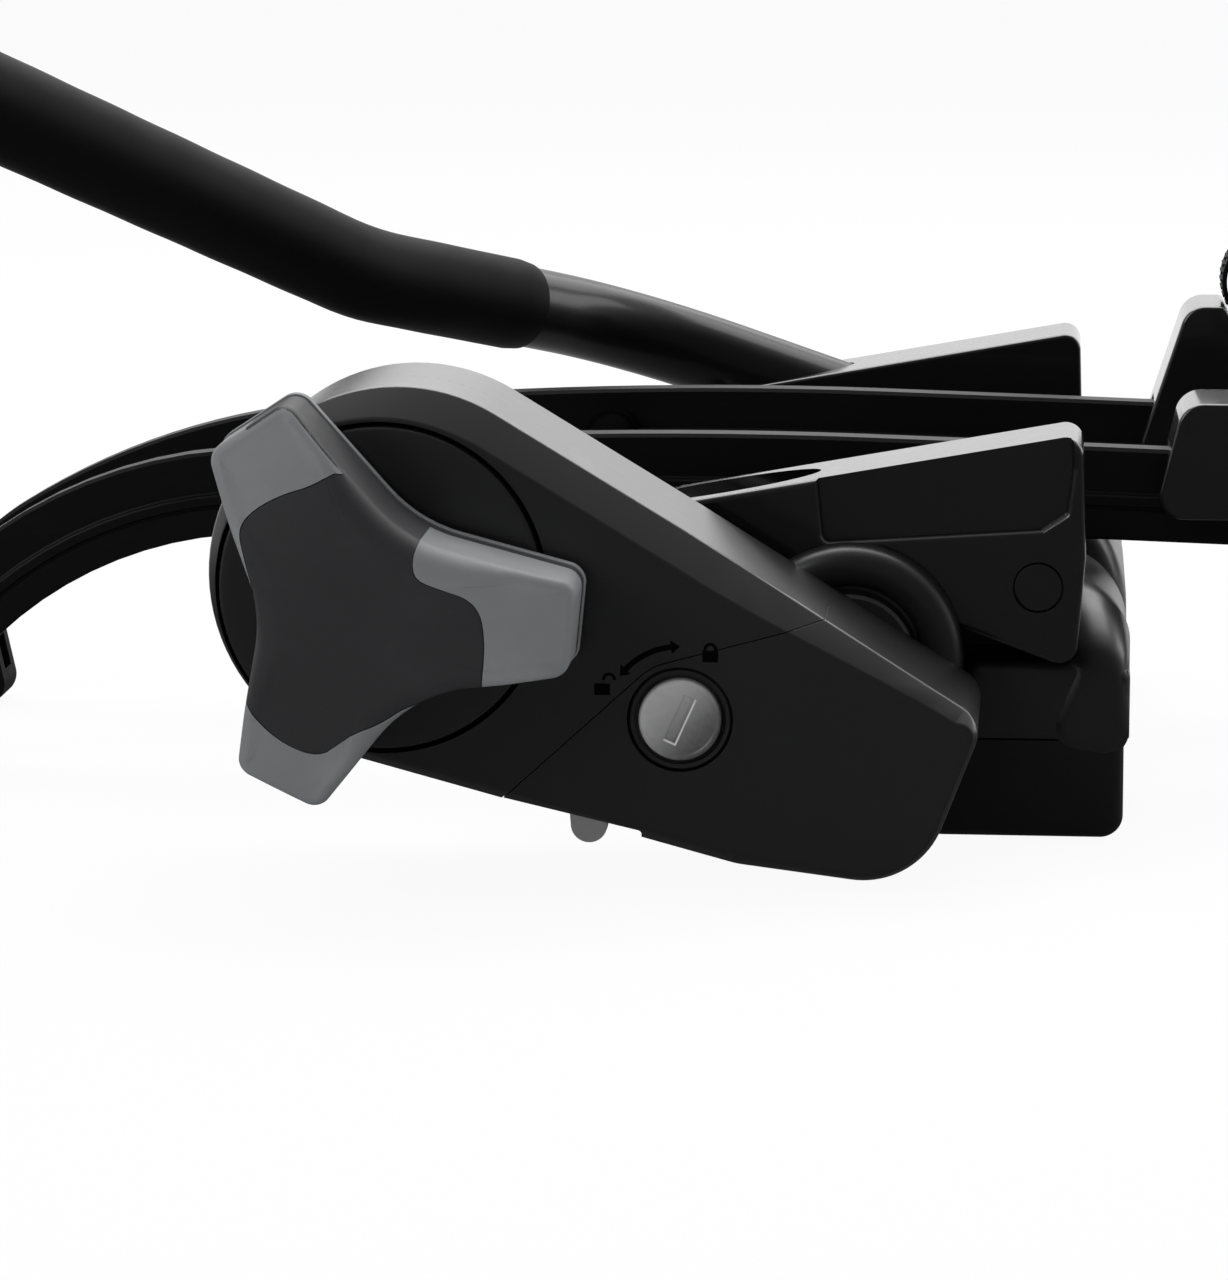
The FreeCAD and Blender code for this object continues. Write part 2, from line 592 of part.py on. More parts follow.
keep(block("LockBolt", "boltLeft", "boltBackY - boltT", "boltLow", "boltRight - boltLeft",
           "boltT", "boltHigh - boltLow"), "lock_bolt")

# base, hub cover, axle

core = ("blockToe", "blockHeel", "blockLedge", "saddle")
wing = ("wingToe", "blockHeel", "blockLedge", "wingTop")


def baseBlock():
    body = newBody("BaseBlock")
    pad(body, wrap(newSketch(body, "CoreOutline", "XZ_Plane"), [corner(c) for c in core]),
        "2 * coreHalf", True)
    pad(body, wrap(newSketch(body, "WingOutline", "XZ_Plane"), [corner(c) for c in wing]),
        "2 * wingHalf", True)
    for side in ("-", ""):
        inner, outer = side + "slotInner", side + "slotOuter"
        low, high = (outer, inner) if side else (inner, outer)
        slot = rectangle(newSketch(body, "ArmSlot" + ("Near" if side else "Far"), "XY_Plane"),
                         "0 - reach", "slotEnd", low, high)
        pocket(body, slot, "through", True)
    bore = ring(newSketch(body, "BlockBore", "XZ_Plane"), "pivotX", "pivotZ", "axleR")
    pocket(body, bore, "3 * coreHalf", True)
    recess = wrap(newSketch(body, "PadRecess", "XZ_Plane"),
                  [("padLeft", "0 - padT", "padT"), ("padRight", "0 - padT", "padT"),
                   ("padRight", "0", "padT"), ("padLeft", "0", "padT")])
    pocket(body, recess, "2 * (coreHalf - padMargin)", True)
    return body


base = baseBlock()
basePad = block("BasePadSolid", "padLeft + padFit", "0 - coreHalf + padMargin + padFit", "0",
                "padRight - padLeft - 2 * padFit", "2 * (coreHalf - padMargin - padFit)", "padT")


def baseScrew(name, y):
    low = doc.addObject("Part::Cylinder", name + "Head")
    bind(low, Radius="baseScrewHead", Height="baseScrewHeadT")
    place(low, "baseScrewX", y, "padT")
    shank = doc.addObject("Part::Cylinder", name + "Shank")
    bind(shank, Radius="baseScrewR", Height="baseScrewDeep")
    place(shank, "baseScrewX", y, "padT")
    return fuse(name, low, shank)


baseScrews = group("BaseScrews", baseScrew("NearBaseScrew", "0 - baseScrewY"),
                   baseScrew("FarBaseScrew", "baseScrewY"))
coverSolid = midSlab("HubCoverSolid",
                     [corner(c) for c in ("coverToe", "blockLedge", "coverRight", "coverLeft")],
                     "2 * coverHalf", "0")


def lengthRod(name, x, z, y0, y1, radius):
    return rod(name, x, z, y1, "%s - (%s)" % (y1, y0), radius)


axle = keep(lengthRod("Axle", "pivotX", "pivotZ", "axleNearY", "axleFarY", "axleR"), "axle")
keep(cutAll("HubCover", coverSolid, base, axle), "hub_cover")


def hexNut(name, backY):
    nut = doc.addObject("Part::Prism", name + "Blank")
    nut.Polygon = 6
    bind(nut, Circumradius="nutR", Height="nutT")
    nut.Placement.Rotation = FreeCAD.Rotation(FreeCAD.Vector(1, 0, 0), 90)
    place(nut, "pivotX", backY, "pivotZ")
    return cut(name, nut, rod(name + "Bore", "pivotX", "pivotZ", backY + " + 1", "nutT + 2", "axleR"))


nearWasherY = "pivotBossY - sideGap"
keep(tubeRod("NearWasher", "pivotX", "pivotZ", nearWasherY, "washerT", "washerR", "axleR"),
     "near_washer")
keep(hexNut("NearNut", nearWasherY + " - washerT"), "near_nut")
keep(hexNut("FarNut", "headHalf + nutT"), "far_nut")
farCap = lengthRod("FarCapSolid", "pivotX", "pivotZ", "headHalf", "headHalf + farCapT", "farCapR")
capRoom = lengthRod("FarCapRoom", "pivotX", "pivotZ", "headHalf - 1",
                    "headHalf + farCapT - farCapWall", "farCapR - farCapWall")
keep(cut("FarCap", farCap, capRoom), "far_cap")

# heads with their tube sockets

headNames = ("headKnee", "headToe", "headSide", "headTop", "headLeft")


def socketRod(name, y, radius):
    """A rod along the socket axis, from the blind end up and to the left."""
    obj = doc.addObject("Part::Cylinder", name)
    bind(obj, Radius=radius, Height="reach")
    obj.Placement.Rotation = FreeCAD.Rotation(FreeCAD.Vector(0, 1, 0), dims["tubeTilt"] - 90)
    return place(obj, "tubeEndX", y, "tubeEndZ")


def boltPair(name, low, long, radius):
    return [lengthRod(name + side, x, "headBoltZ", low, "%s + %s" % (low, long), radius)
            for side, x in (("Left", "0 - headBoltX"), ("Right", "headBoltX"))]


def makeHead(side, node):
    near = side == "Near"
    middle = "(headHalf + coreHalf) / 2"
    sign = "0 - " if near else ""
    solid = midSlab(side + "HeadSolid", [corner(c) for c in headNames], "headHalf - coreHalf",
                    sign + middle)
    lobe = ring(newSketch(solid, side + "HeadLobe", "XZ_Plane"), "headLobeX", "headLobeZ",
                "headLobeR")
    pad(solid, lobe, "headHalf - coreHalf", True)
    socket = socketRod(side + "Socket", sign + "tubeEndY", "tubeR + runFit")
    capLow = "0 - headHalf - 1" if near else "headHalf - plugCapT"
    seat = lengthRod(side + "PlugSeat", "plugCapX", "plugCapZ", capLow, capLow + " + plugCapT + 1",
                     "plugCapR")
    bolt = "0 - headHalf" if near else "headHalf - headBoltLength"
    bolts = boltPair(side + "Bolt", bolt, "headBoltLength", "headBoltR")
    bore = lengthRod(side + "HeadBore", "pivotX", "pivotZ", sign + "headHalf - reach / 2",
                     sign + "headHalf + reach / 2", "axleR")
    keep(cutAll(side + "Head", solid, socket, seat, bore, *bolts), node)
    capY = "0 - headHalf - plugCapProud" if near else "headHalf - plugCapT"
    keep(lengthRod(side + "PlugCap", "plugCapX", "plugCapZ", capY,
                   capY + " + plugCapT + plugCapProud", "plugCapR"), node.replace("head", "head_cap"))
    return bolts


nearBolts = makeHead("Near", "near_head")
farBolts = makeHead("Far", "far_head")
headBolts = nearBolts + farBolts
keep(group("HeadBolts", *headBolts), "head_bolts")
keep(cutAll("BaseCut", base, basePad, baseScrews, *headBolts), "base_block")
keep(cut("BasePad", basePad, baseScrews), "base_pad")
keep(baseScrews, "base_screws")

# support tube with its rubber sleeve


def vector(*cells):
    return FreeCAD.Vector(*(number(c) for c in cells))


def roundedPath(points, radii):
    """Straight runs joined by tangent arcs, as a wire."""
    edges, start = [], points[0]
    for before, here, after, radius in zip(points, points[1:], points[2:], radii):
        back = (before - here).normalize()
        ahead = (after - here).normalize()
        half = back.getAngle(ahead) / 2
        reach = radius / math.tan(half)
        first, last = here + back * reach, here + ahead * reach
        middle = (back + ahead).normalize()
        top = here + middle * (radius / math.sin(half) - radius)
        edges.append(Part.LineSegment(start, first).toShape())
        edges.append(Part.Arc(first, top, last).toShape())
        start = last
    edges.append(Part.LineSegment(start, points[-1]).toShape())
    return Part.Wire(edges)


def between(one, other, x):
    return one + (other - one) * ((x - one.x) / (other.x - one.x))


endPoint = vector("tubeEndX", "tubeEndY", "tubeEndZ")
bendPoint = vector("bendX", "tubeEndY", "bendZ")
risePoint = vector("riseX", "riseY", "riseZ")
barPoint = vector("barX", "barY", "barZ")
bends = (dims["bendR"], dims["riseR"])


def pathFeature(name, points, radii):
    obj = doc.addObject("Part::Feature", name)
    obj.Shape = roundedPath(points, radii)
    return obj


def swept(name, path, radius):
    wire = path.Shape
    start = wire.Edges[0].valueAt(wire.Edges[0].FirstParameter)
    aim = wire.Edges[0].tangentAt(wire.Edges[0].FirstParameter)
    section = doc.addObject("Part::Circle", name + "Section")
    bind(section, Radius=radius)
    section.Placement = FreeCAD.Placement(
        start, FreeCAD.Rotation(FreeCAD.Vector(0, 0, 1), aim))
    doc.recompute()
    sweep = doc.addObject("Part::Sweep", name)
    sweep.Sections = [section]
    sweep.Spine = (path, ["Edge%d" % (i + 1) for i in range(len(wire.Edges))])
    sweep.Solid = True
    doc.recompute()
    return sweep


tubePath = pathFeature("TubePath", [endPoint, bendPoint, risePoint, barPoint], bends)
sleeveStart = between(bendPoint, risePoint, dims["sleeveStartX"] - 2)
sleevePath = pathFeature("SleevePath", [sleeveStart, risePoint, barPoint], bends[1:])
tubeOuter = swept("TubeOuter", tubePath, "tubeR")
tubeBore = swept("TubeInner", tubePath, "tubeR - tubeWall")
keep(cut("SupportTube", tubeOuter, tubeBore), "support_tube")
keep(cut("TubeSleeve", swept("SleeveOuter", sleevePath, "tubeR + sleeveT"), tubeOuter),
     "tube_sleeve")
aim = (barPoint - risePoint).normalize()
barCap = doc.addObject("Part::Sphere", "BarCapBall")
bind(barCap, Radius="barCapR", Angle1="0")
barCap.Placement = FreeCAD.Placement(barPoint, FreeCAD.Rotation(FreeCAD.Vector(0, 0, 1), aim))
keep(barCap, "tube_cap")

# arms


def placeArm(obj, y):
    obj.Placement.Rotation = FreeCAD.Rotation(FreeCAD.Vector(0, 1, 0), dims["armSlope"])
    place(obj, "armEndX", y, "armEndZ")
    bind(obj, Placement_Rotation_Angle="armSlope")
    return obj


def armSpine(body, name):
    """Straight, then a shallow camber, then the curl down to the ground, right to left."""
    sketch = newSketch(body, name, "XZ_Plane")
    long, big, small = dims["armStraight"], dims["camberR"], dims["curlR"]
    turn, curl = math.radians(dims["camberTurn"]), math.radians(dims["curlTurn"])
    up = math.pi / 2
    flat = FreeCAD.Vector(0, 0, 1)
    camberCentre = FreeCAD.Vector(-long, -big, 0)
    curlStart = camberCentre + FreeCAD.Vector(-math.sin(turn), math.cos(turn), 0) * big
    curlCentre = curlStart - FreeCAD.Vector(-math.sin(turn), math.cos(turn), 0) * small
    sketch.addGeometry(Part.LineSegment(FreeCAD.Vector(0, 0, 0), FreeCAD.Vector(-long, 0, 0)), False)
    sketch.addGeometry(Part.ArcOfCircle(Part.Circle(camberCentre, flat, big), up, up + turn), False)
    sketch.addGeometry(Part.ArcOfCircle(Part.Circle(curlCentre, flat, small), up + turn,
                                        up + turn + curl), False)
    sketch.addConstraint(Sketcher.Constraint("Coincident", 0, 1, -1, 1))
    sketch.addConstraint(Sketcher.Constraint("Horizontal", 0))
    sketch.addConstraint(Sketcher.Constraint("Tangent", 0, 2, 1, 1))
    sketch.addConstraint(Sketcher.Constraint("Tangent", 1, 2, 2, 1))
    fix(sketch, "DistanceX", 0, 2, 0, 1, size="armStraight")
    fix(sketch, "Radius", 1, size="camberR")
    fix(sketch, "Radius", 2, size="curlR")
    return sketch


def armStrip(body, spine, name, thick, tall):
    profile = rectangle(newSketch(body, name + "Section", "YZ_Plane"), "0 - %s / 2" % thick,
                        "%s / 2" % thick, "0 - %s / 2" % tall, "%s / 2" % tall)
    pipe = body.newObject("PartDesign::AdditivePipe", name)
    pipe.Profile = profile
    pipe.Spine = (spine, ["Edge1", "Edge2", "Edge3"])
    doc.recompute()


def makeArm(side, y, node):
    body = newBody(side + "Arm")
    spine = armSpine(body, side + "Spine")
    armStrip(body, spine, side + "Web", "armT", "armH")
    armStrip(body, spine, side + "Bead", "beadT", "beadH")
    return keep(placeArm(body, y), node)


def makeArmParts(side, sign):
    y = sign + "armY"
    arm = makeArm(side, y, side.lower() + "_arm")
    plate = midSlab(side + "EyePlate", [corner(c) for c in ("eye", "eyeRight", "eyeLeft")],
                    "armT", y)
    eyeRoom = lengthRod(side + "EyeRoom", "pivotX", "pivotZ", y + " - armT", y + " + armT",
                      "armBushR")
    keep(cutAll(side + "Bracket", plate, arm, eyeRoom), side.lower() + "_bracket")
    bush = cut(side + "Bush",
               lengthRod(side + "BushSolid", "pivotX", "pivotZ", y + " - armT / 2",
                         y + " + armT / 2", "armBushR"),
               lengthRod(side + "BushRoom", "pivotX", "pivotZ", y + " - armT", y + " + armT",
                         "axleR + armFit"))
    boot = midSlab(side + "BootSolid", [corner(c) for c in ("bootHeel", "bootToe", "bootTop")],
                   "bootT", y)
    keep(cut(side + "Boot", boot, arm), side.lower() + "_arm_foot")
    end = doc.addObject("Part::Box", side + "ArmCapBlank")
    bind(end, Length="armCapT", Width="beadT", Height="armH")
    shift = FreeCAD.Rotation(FreeCAD.Vector(0, 1, 0), dims["armSlope"]).multVec(
        FreeCAD.Vector(0, 0, -dims["armH"] / 2))
    end.Placement.Rotation = FreeCAD.Rotation(FreeCAD.Vector(0, 1, 0), dims["armSlope"])
    place(end, "armEndX + (%r)" % shift.x, y + " - beadT / 2", "armEndZ + (%r)" % shift.z)
    doc.recompute()
    rounded = doc.addObject("Part::Fillet", side + "ArmCap")
    rounded.Base = end
    rounded.Edges = [(i, dims["armCapEdge"], dims["armCapEdge"]) for i in (5, 6, 7, 8)]
    doc.recompute()
    return arm, bush, rounded


nearArm, nearBush, nearEnd = makeArmParts("Near", "0 - ")
farArm, farBush, farEnd = makeArmParts("Far", "")
keep(group("ArmBushes", nearBush, farBush), "arm_bushes")
keep(group("ArmCaps", nearEnd, farEnd), "arm_end_caps")
for side in ("left", "right"):
    keep(lengthRod(side.title() + "Tie", side + "TieX", side + "TieZ", "0 - armY + beadT / 2",
                   "armY - beadT / 2", "tieR"), side + "_tie")

# cradles that slide on the arms


def cradle(side, index, sign, names, seat):
    """A saddle round the arm with a trough for a bicycle's frame tube and a strap over it."""
    tag = "%sCradle%d" % (side, index)
    y = sign + "armY"
    along = "cradlePitch * %d * cos(armSlope * 1 deg)" % (index - 1)
    down = "0 - cradlePitch * %d * sin(armSlope * 1 deg)" % (index - 1)
    solid = midSlab(tag + "Solid", [corner(c) for c in names], "2 * cradleHalf", y)
    bind(solid, Placement_Base_x=along, Placement_Base_z=down)
    trough = lengthRod(tag + "Trough", "seatX + " + along, "%s + %s" % (seat, down),
                       y + " - 2 * cradleHalf", y + " + 2 * cradleHalf", "seatR")
    room = doc.addObject("Part::Box", tag + "Room")
    bind(room, Length="through", Width="beadT + 2 * cradleFit", Height="armH + 2 * cradleFit")
    tilt = FreeCAD.Rotation(FreeCAD.Vector(0, 1, 0), dims["armSlope"])
    shift = tilt.multVec(FreeCAD.Vector(-dims["armStraight"], 0, -dims["armH"] / 2 - dims["cradleFit"]))
    room.Placement.Rotation = tilt
    place(room, "armEndX + (%r)" % shift.x, y + " - beadT / 2 - cradleFit",
          "armEndZ + (%r)" % shift.z)
    doc.recompute()
    node = "%s_cradle_%d" % (side.lower(), index)
    keep(cutAll(tag, solid, trough, room), node)
    bandX, bandZ = "seatX + " + along, "%s + %s" % (seat, down)
    band = cut(tag + "Band", strapRod(tag + "Outer", bandX, bandZ, y, "seatR"),
               strapRod(tag + "Inner", bandX, bandZ, y, "seatR - strapT"))
    keep(band, "%s_strap_%d" % (side.lower(), index))


def strapRod(name, x, z, y, radius):
    return lengthRod(name, x, z, y + " - strapHalf", y + " + strapHalf", radius)


nearNames = ("nearFarLow", "nearFarHigh", "nearHigh", "nearLow")
farNames = ("farFarLow", "farFarHigh", "farHigh", "farLow")
for index in (1, 2):
    cradle("Near", index, "0 - ", nearNames, "seatZ")
    cradle("Far", index, "", farNames, "farSeatZ")

# check and write

doc.recompute()
for obj in doc.Objects:
    if "Invalid" in obj.State or "Error" in obj.State:
        raise RuntimeError("%s is %s" % (obj.Name, obj.State))
for node, obj in parts.items():
    if obj.Shape.isNull() or not obj.Shape.isValid() or not obj.Shape.Solids:
        raise RuntimeError("%s has no valid solid" % node)
os.makedirs("parts", exist_ok=True)
for node, obj in parts.items():
    obj.Shape.exportStep("parts/%s.step" % node)
print("%d parts" % len(parts))
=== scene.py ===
import json
import math

import bmesh
import bpy
from mathutils import Matrix, Vector


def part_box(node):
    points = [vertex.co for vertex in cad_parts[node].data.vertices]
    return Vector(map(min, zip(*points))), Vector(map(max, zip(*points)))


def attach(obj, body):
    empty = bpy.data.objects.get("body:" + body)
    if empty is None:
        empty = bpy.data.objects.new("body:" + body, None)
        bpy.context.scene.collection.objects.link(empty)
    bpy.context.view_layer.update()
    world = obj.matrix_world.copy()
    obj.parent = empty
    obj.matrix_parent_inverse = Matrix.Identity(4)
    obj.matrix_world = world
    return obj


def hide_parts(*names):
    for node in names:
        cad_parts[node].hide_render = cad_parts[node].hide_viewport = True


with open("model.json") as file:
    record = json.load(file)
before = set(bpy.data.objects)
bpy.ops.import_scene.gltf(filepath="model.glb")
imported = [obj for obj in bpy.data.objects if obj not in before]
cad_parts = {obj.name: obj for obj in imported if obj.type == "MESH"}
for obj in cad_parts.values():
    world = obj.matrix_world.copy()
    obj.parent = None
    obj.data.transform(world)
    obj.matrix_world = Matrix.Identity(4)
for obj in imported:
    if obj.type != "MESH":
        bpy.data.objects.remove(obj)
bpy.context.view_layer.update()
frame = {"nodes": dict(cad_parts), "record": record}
mm = 0.001
print("frame loaded:", len(frame["nodes"]), "pieces")


def middle(node):       # centre of a part, in millimetres
    low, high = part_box(node)
    return (Vector(low) + Vector(high)) / (2 * mm)


# camera

view = {
    "eye": (46.52, -1358.32, 269.84),
    "azimuth": 4.754,
    "elevation": 10.095,
    "lens": 148.5,
    "sensor": 36.0,
}

cameraData = bpy.data.cameras.new("camera")
cameraData.lens = view["lens"]
cameraData.sensor_width = view["sensor"]
cameraData.clip_start = 0.05
cameraData.clip_end = 50.0
camera = bpy.data.objects.new("camera", cameraData)
camera.location = Vector(view["eye"]) * mm
camera.rotation_euler = (math.radians(90 - view["elevation"]), 0, math.radians(view["azimuth"]))
bpy.context.scene.collection.objects.link(camera)
bpy.context.scene.camera = camera
bpy.context.scene.view_settings.view_transform = "Standard"


# shader maths

class Wire:
    def __init__(self, finish, socket):
        self.finish = finish
        self.socket = socket

    def run(self, operation, *values):
        return self.finish.add("ShaderNodeMath", {"operation": operation}, dict(enumerate(values)))

    def __add__(self, other):
        return self.run("ADD", self, other)

    def __radd__(self, other):
        return self.run("ADD", other, self)

    def __sub__(self, other):
        return self.run("SUBTRACT", self, other)

    def __rsub__(self, other):
        return self.run("SUBTRACT", other, self)

    def __mul__(self, other):
        return self.run("MULTIPLY", self, other)

    def __rmul__(self, other):
        return self.run("MULTIPLY", other, self)


class Finish:
    def __init__(self, name, world=None):
        self.material = world or bpy.data.materials.new(name)
        self.material.use_nodes = True
        self.tree = self.material.node_tree
        self.shader = self.tree.nodes["Background" if world else "Principled BSDF"]

    def add(self, kind, settings=None, inputs=None, output=0):
        node = self.tree.nodes.new(kind)
        for key, value in (settings or {}).items():
            setattr(node, key, value)
        for key, value in (inputs or {}).items():
            self.feed(node.inputs[key], value)
        if isinstance(output, tuple):
            return [Wire(self, node.outputs[key]) for key in output]
        return Wire(self, node.outputs[output])

    def feed(self, socket, value):
        if isinstance(value, Wire):
            self.tree.links.new(value.socket, socket)
        elif socket.type == "RGBA":
            socket.default_value = (*value[:3], 1.0)
        else:
            socket.default_value = value

    def place(self, scale=(1, 1, 1)):
        where = self.add("ShaderNodeTexCoord", output="Object")
        return self.add("ShaderNodeMapping", {}, {"Vector": where, "Scale": scale})

    def split(self, vector):
        return self.add("ShaderNodeSeparateXYZ", {}, {0: vector}, (0, 1, 2))

    def noise(self, scale, detail=2.0, vector=None):
        inputs = {"Vector": vector or self.place(), "Scale": scale, "Detail": detail}
        return self.add("ShaderNodeTexNoise", {}, inputs, "Fac")

    def blend(self, amount, dark, light):
        return self.add("ShaderNodeMix", {"data_type": "RGBA"}, {0: amount, 6: dark, 7: light}, 2)

    def fade(self, value, low, high, start=0.0, end=1.0):
        return self.add("ShaderNodeMapRange", {"interpolation_type": "SMOOTHSTEP"},
                        {"Value": value, "From Min": low, "From Max": high, "To Min": start,
                         "To Max": end})

    def bump(self, height, distance, strength=1.0, after=None):
        inputs = {"Height": height, "Distance": distance, "Strength": strength}
        if after:
            inputs["Normal"] = after
        return self.add("ShaderNodeBump", {}, inputs)

    def make(self, **sockets):
        for name, value in sockets.items():
            self.feed(self.shader.inputs[name.replace("_", " ")], value)
        return self.material


# finishes

def tint(colour, factor):
    return tuple(min(1.0, c * factor) for c in colour)


def moulded(name, colour, rough, grain=0.5, specular=0.35, coat=0.0, coatRough=0.14):
    f = Finish(name)
    f.shader.inputs["Coat Weight"].default_value = coat
    f.shader.inputs["Coat Roughness"].default_value = coatRough
    flow = f.noise(24.0, 3.0)
    rubbed = f.fade(f.noise(90.0, 4.0), 0.54, 0.74)
    base = f.blend(flow, tint(colour, 0.85), tint(colour, 1.15))
    handled = f.blend(rubbed * 0.3, base, tint(colour, 1.35))
    roughness = rough - 0.05 * rubbed + 0.05 * f.noise(420.0, 2.0)
    wave = f.bump(f.noise(60.0, 2.0), 0.0002, 0.1)
    f.shader.inputs["Specular IOR Level"].default_value = specular
    return f.make(Base_Color=handled, Roughness=roughness,
                  Normal=f.bump(f.noise(2600.0, 1.5), 0.00004, grain, wave))


def rubbery(name, colour, rough, grain=0.6, specular=0.3):
    f = Finish(name)
    dust = f.fade(f.noise(55.0, 5.0), 0.45, 0.75)
    tone = f.blend(dust * 0.5, tint(colour, 0.94), tint(colour, 1.12))
    f.shader.inputs["Specular IOR Level"].default_value = specular
    return f.make(Base_Color=tone, Roughness=rough + 0.06 * dust,
                  Normal=f.bump(f.noise(3400.0, 2.0), 0.00004, grain))


def brushed(name, colour, rough, stretch, lines=900.0, depth=0.00002, metallic=1.0, specular=0.5):
    f = Finish(name)
    strokes = f.noise(lines, 3.0, f.place(stretch))
    stain = f.noise(70.0, 3.0)
    tone = f.blend(strokes * 0.6 + stain * 0.4, tint(colour, 0.78), tint(colour, 1.12))
    f.shader.inputs["Metallic"].default_value = metallic
    f.shader.inputs["Specular IOR Level"].default_value = specular
    return f.make(Base_Color=tone, Roughness=rough + 0.12 * strokes + 0.06 * stain,
                  Normal=f.bump(strokes, depth, 0.5))


def painted(name, colour, rough, specular):
    f = Finish(name)
    f.shader.inputs["Coat Weight"].default_value = 0.35
    f.shader.inputs["Coat Roughness"].default_value = 0.18
    cloud = f.noise(30.0, 3.0)
    body = f.blend(cloud, tint(colour, 0.8), tint(colour, 1.25))
    f.shader.inputs["Specular IOR Level"].default_value = specular
    return f.make(Base_Color=body, Roughness=rough + 0.08 * f.noise(200.0, 3.0),
                  Normal=f.bump(f.noise(1300.0, 2.0), 0.00005, 0.25))


def turned(name, centre, reach, dark, light, rough):    # turned metal with painted light: paler at its upper left, darker towards its lower right
    f = Finish(name)
    across, _, up = f.split(f.place())
    # painted highlight: the colour runs from dark at the lower right to light at the upper left
    lit = f.fade(up - across, centre - reach, centre + reach)
    strokes = f.noise(700.0, 3.0)
    tone = f.blend(lit * 0.85 + strokes * 0.15, dark, light)
    f.shader.inputs["Metallic"].default_value = 0.5
    return f.make(Base_Color=tone, Roughness=rough + 0.1 * strokes,
                  Normal=f.bump(strokes, 0.00002, 0.4))


finishes = {
    "shell_black": moulded("shellBlack", (0.0078, 0.0078, 0.0085), 0.38, 0.35, 0.3, 0.9, 0.3),
    "gloss_black": moulded("satinBlack", (0.004, 0.004, 0.0045), 0.3, 0.15, 0.3, 0.9, 0.1),
    "grip_grey": rubbery("gripGrey", (0.2, 0.206, 0.211), 0.5),
    "knob_core": moulded("knobBlack", (0.03, 0.03, 0.0322), 0.45, 0.4, specular=0.16),
    "arm_black": brushed("armBlack", (0.0035, 0.0035, 0.004), 0.36, (0.04, 1, 1), 1400.0, 0.00001,
                         0.0, 0.16),
    "tube_black": painted("tubeBlack", (0.005, 0.005, 0.0054), 0.32, 0.1),
    "rubber_black": rubbery("rubberBlack", (0.005, 0.005, 0.0054), 0.52, 0.5, 0.06),
    "steel": brushed("brushedSteel", (0.22, 0.22, 0.225), 0.3, (1, 1, 0.04)),
    "zinc": brushed("zincPlate", (0.5, 0.51, 0.53), 0.38, (1, 1, 1), 500.0),
    "nylon_grey": moulded("nylonGrey", (0.2, 0.2, 0.2), 0.5),
    # the release tab's grey is lighter than its own colour: painted light, making up for the shade
    # under the case
    "lever_grey": moulded("leverGreyPaintedLight", (0.6, 0.6, 0.605), 0.42),
}
hull = moulded("hullBlack", (0.0088, 0.0088, 0.0096), 0.4, 0.3, 0.25, 0.55, 0.3)
pan = moulded("panBlack", (0.0066, 0.0066, 0.0072), 0.5, 0.6, 0.2, 0.2, 0.3)
for part in frame["record"]["subparts"]:
    data = frame["nodes"][part["node"]].data
    data.materials.clear()
    data.materials.append(finishes[part["material_slot"]])
print("finishes made:", len(finishes))


# mesh tools: lengths are millimetres until a point becomes a vertex

def spot(x, y, z):
    return Vector((x, y, z)) * mm


def smooth(value, low, high):
    t = min(1.0, max(0.0, (value - low) / (high - low)))
    return t * t * (3 - 2 * t)


def outline(circles, turnStep=6.0, runStep=9.0):
    # marks (x, z, normal x, normal z) round circles (x, z, r) joined by tangents,
    # counter-clockwise; a circle with r < 0 is passed on its inner side
    turns = []
    for (x0, z0, r0), (x1, z1, r1) in zip(circles, circles[1:] + circles[:1]):
        span = math.hypot(x1 - x0, z1 - z0)
        turns.append(math.atan2(z1 - z0, x1 - x0) - math.pi / 2 + math.asin((r0 - r1) / span))
    marks = []
    for i, (x, z, r) in enumerate(circles):
        sweep = (turns[i] - turns[i - 1]) % (2 * math.pi)
        if r < 0 or sweep > 6:
            sweep -= 2 * math.pi
        steps = max(1, math.ceil(abs(math.degrees(sweep)) / turnStep))
        for k in range(steps + 1):
            turn = turns[i - 1] + sweep * k / steps
            across, up = math.cos(turn), math.sin(turn)
            marks.append((x + r * across, z + r * up, across, up))
        x1, z1, r1 = circles[(i + 1) % len(circles)]
        startX, startZ = marks[-1][:2]
        runX, runZ = x1 + r1 * across - startX, z1 + r1 * up - startZ
        runs = max(1, math.ceil(math.hypot(runX, runZ) / runStep))
        for k in range(1, runs):
            marks.append((startX + runX * k / runs, startZ + runZ * k / runs, across, up))
    return marks


def hullMarks(circles, steps=72):
    # marks of the convex hull of circles, one for each direction of its normal
    marks = []
    for k in range(steps):
        turn = 2 * math.pi * k / steps
        across, up = math.cos(turn), math.sin(turn)
        x, z, r = max(circles, key=lambda c: c[0] * across + c[1] * up + c[2])
        marks.append((x + r * across, z + r * up, across, up))
    return marks


def ring(marks, grow, y):
    return [spot(x + across * grow, y, z + up * grow) for x, z, across, up in marks]


def loft(bm, rings):     # closed rings of equal count joined in turn, both ends capped
    rows = [[bm.verts.new(p) for p in row] for row in rings]
    for low, high in zip(rows, rows[1:]):
        for i in range(len(low)):
            j = (i + 1) % len(low)
            bm.faces.new((low[i], low[j], high[j], high[i]))
    bm.faces.new(rows[0][::-1])
    bm.faces.new(rows[-1])


def plateRings(marks, backY, frontY, backRound=0.0, frontRound=0.0, grow=0.0, steps=4):
    ahead = 1 if frontY > backY else -1
    rows = []
    for base, radius, way in ((backY, backRound, ahead), (frontY, frontRound, -ahead)):
        edge = []
        for k in range(steps + 1 if radius else 1):
            turn = math.pi / 2 * k / steps
            edge.append(ring(marks, grow - radius * (1 - math.sin(turn)),
                             base + way * radius * (1 - math.cos(turn))))
        rows += edge if way == ahead else edge[::-1]
    return rows


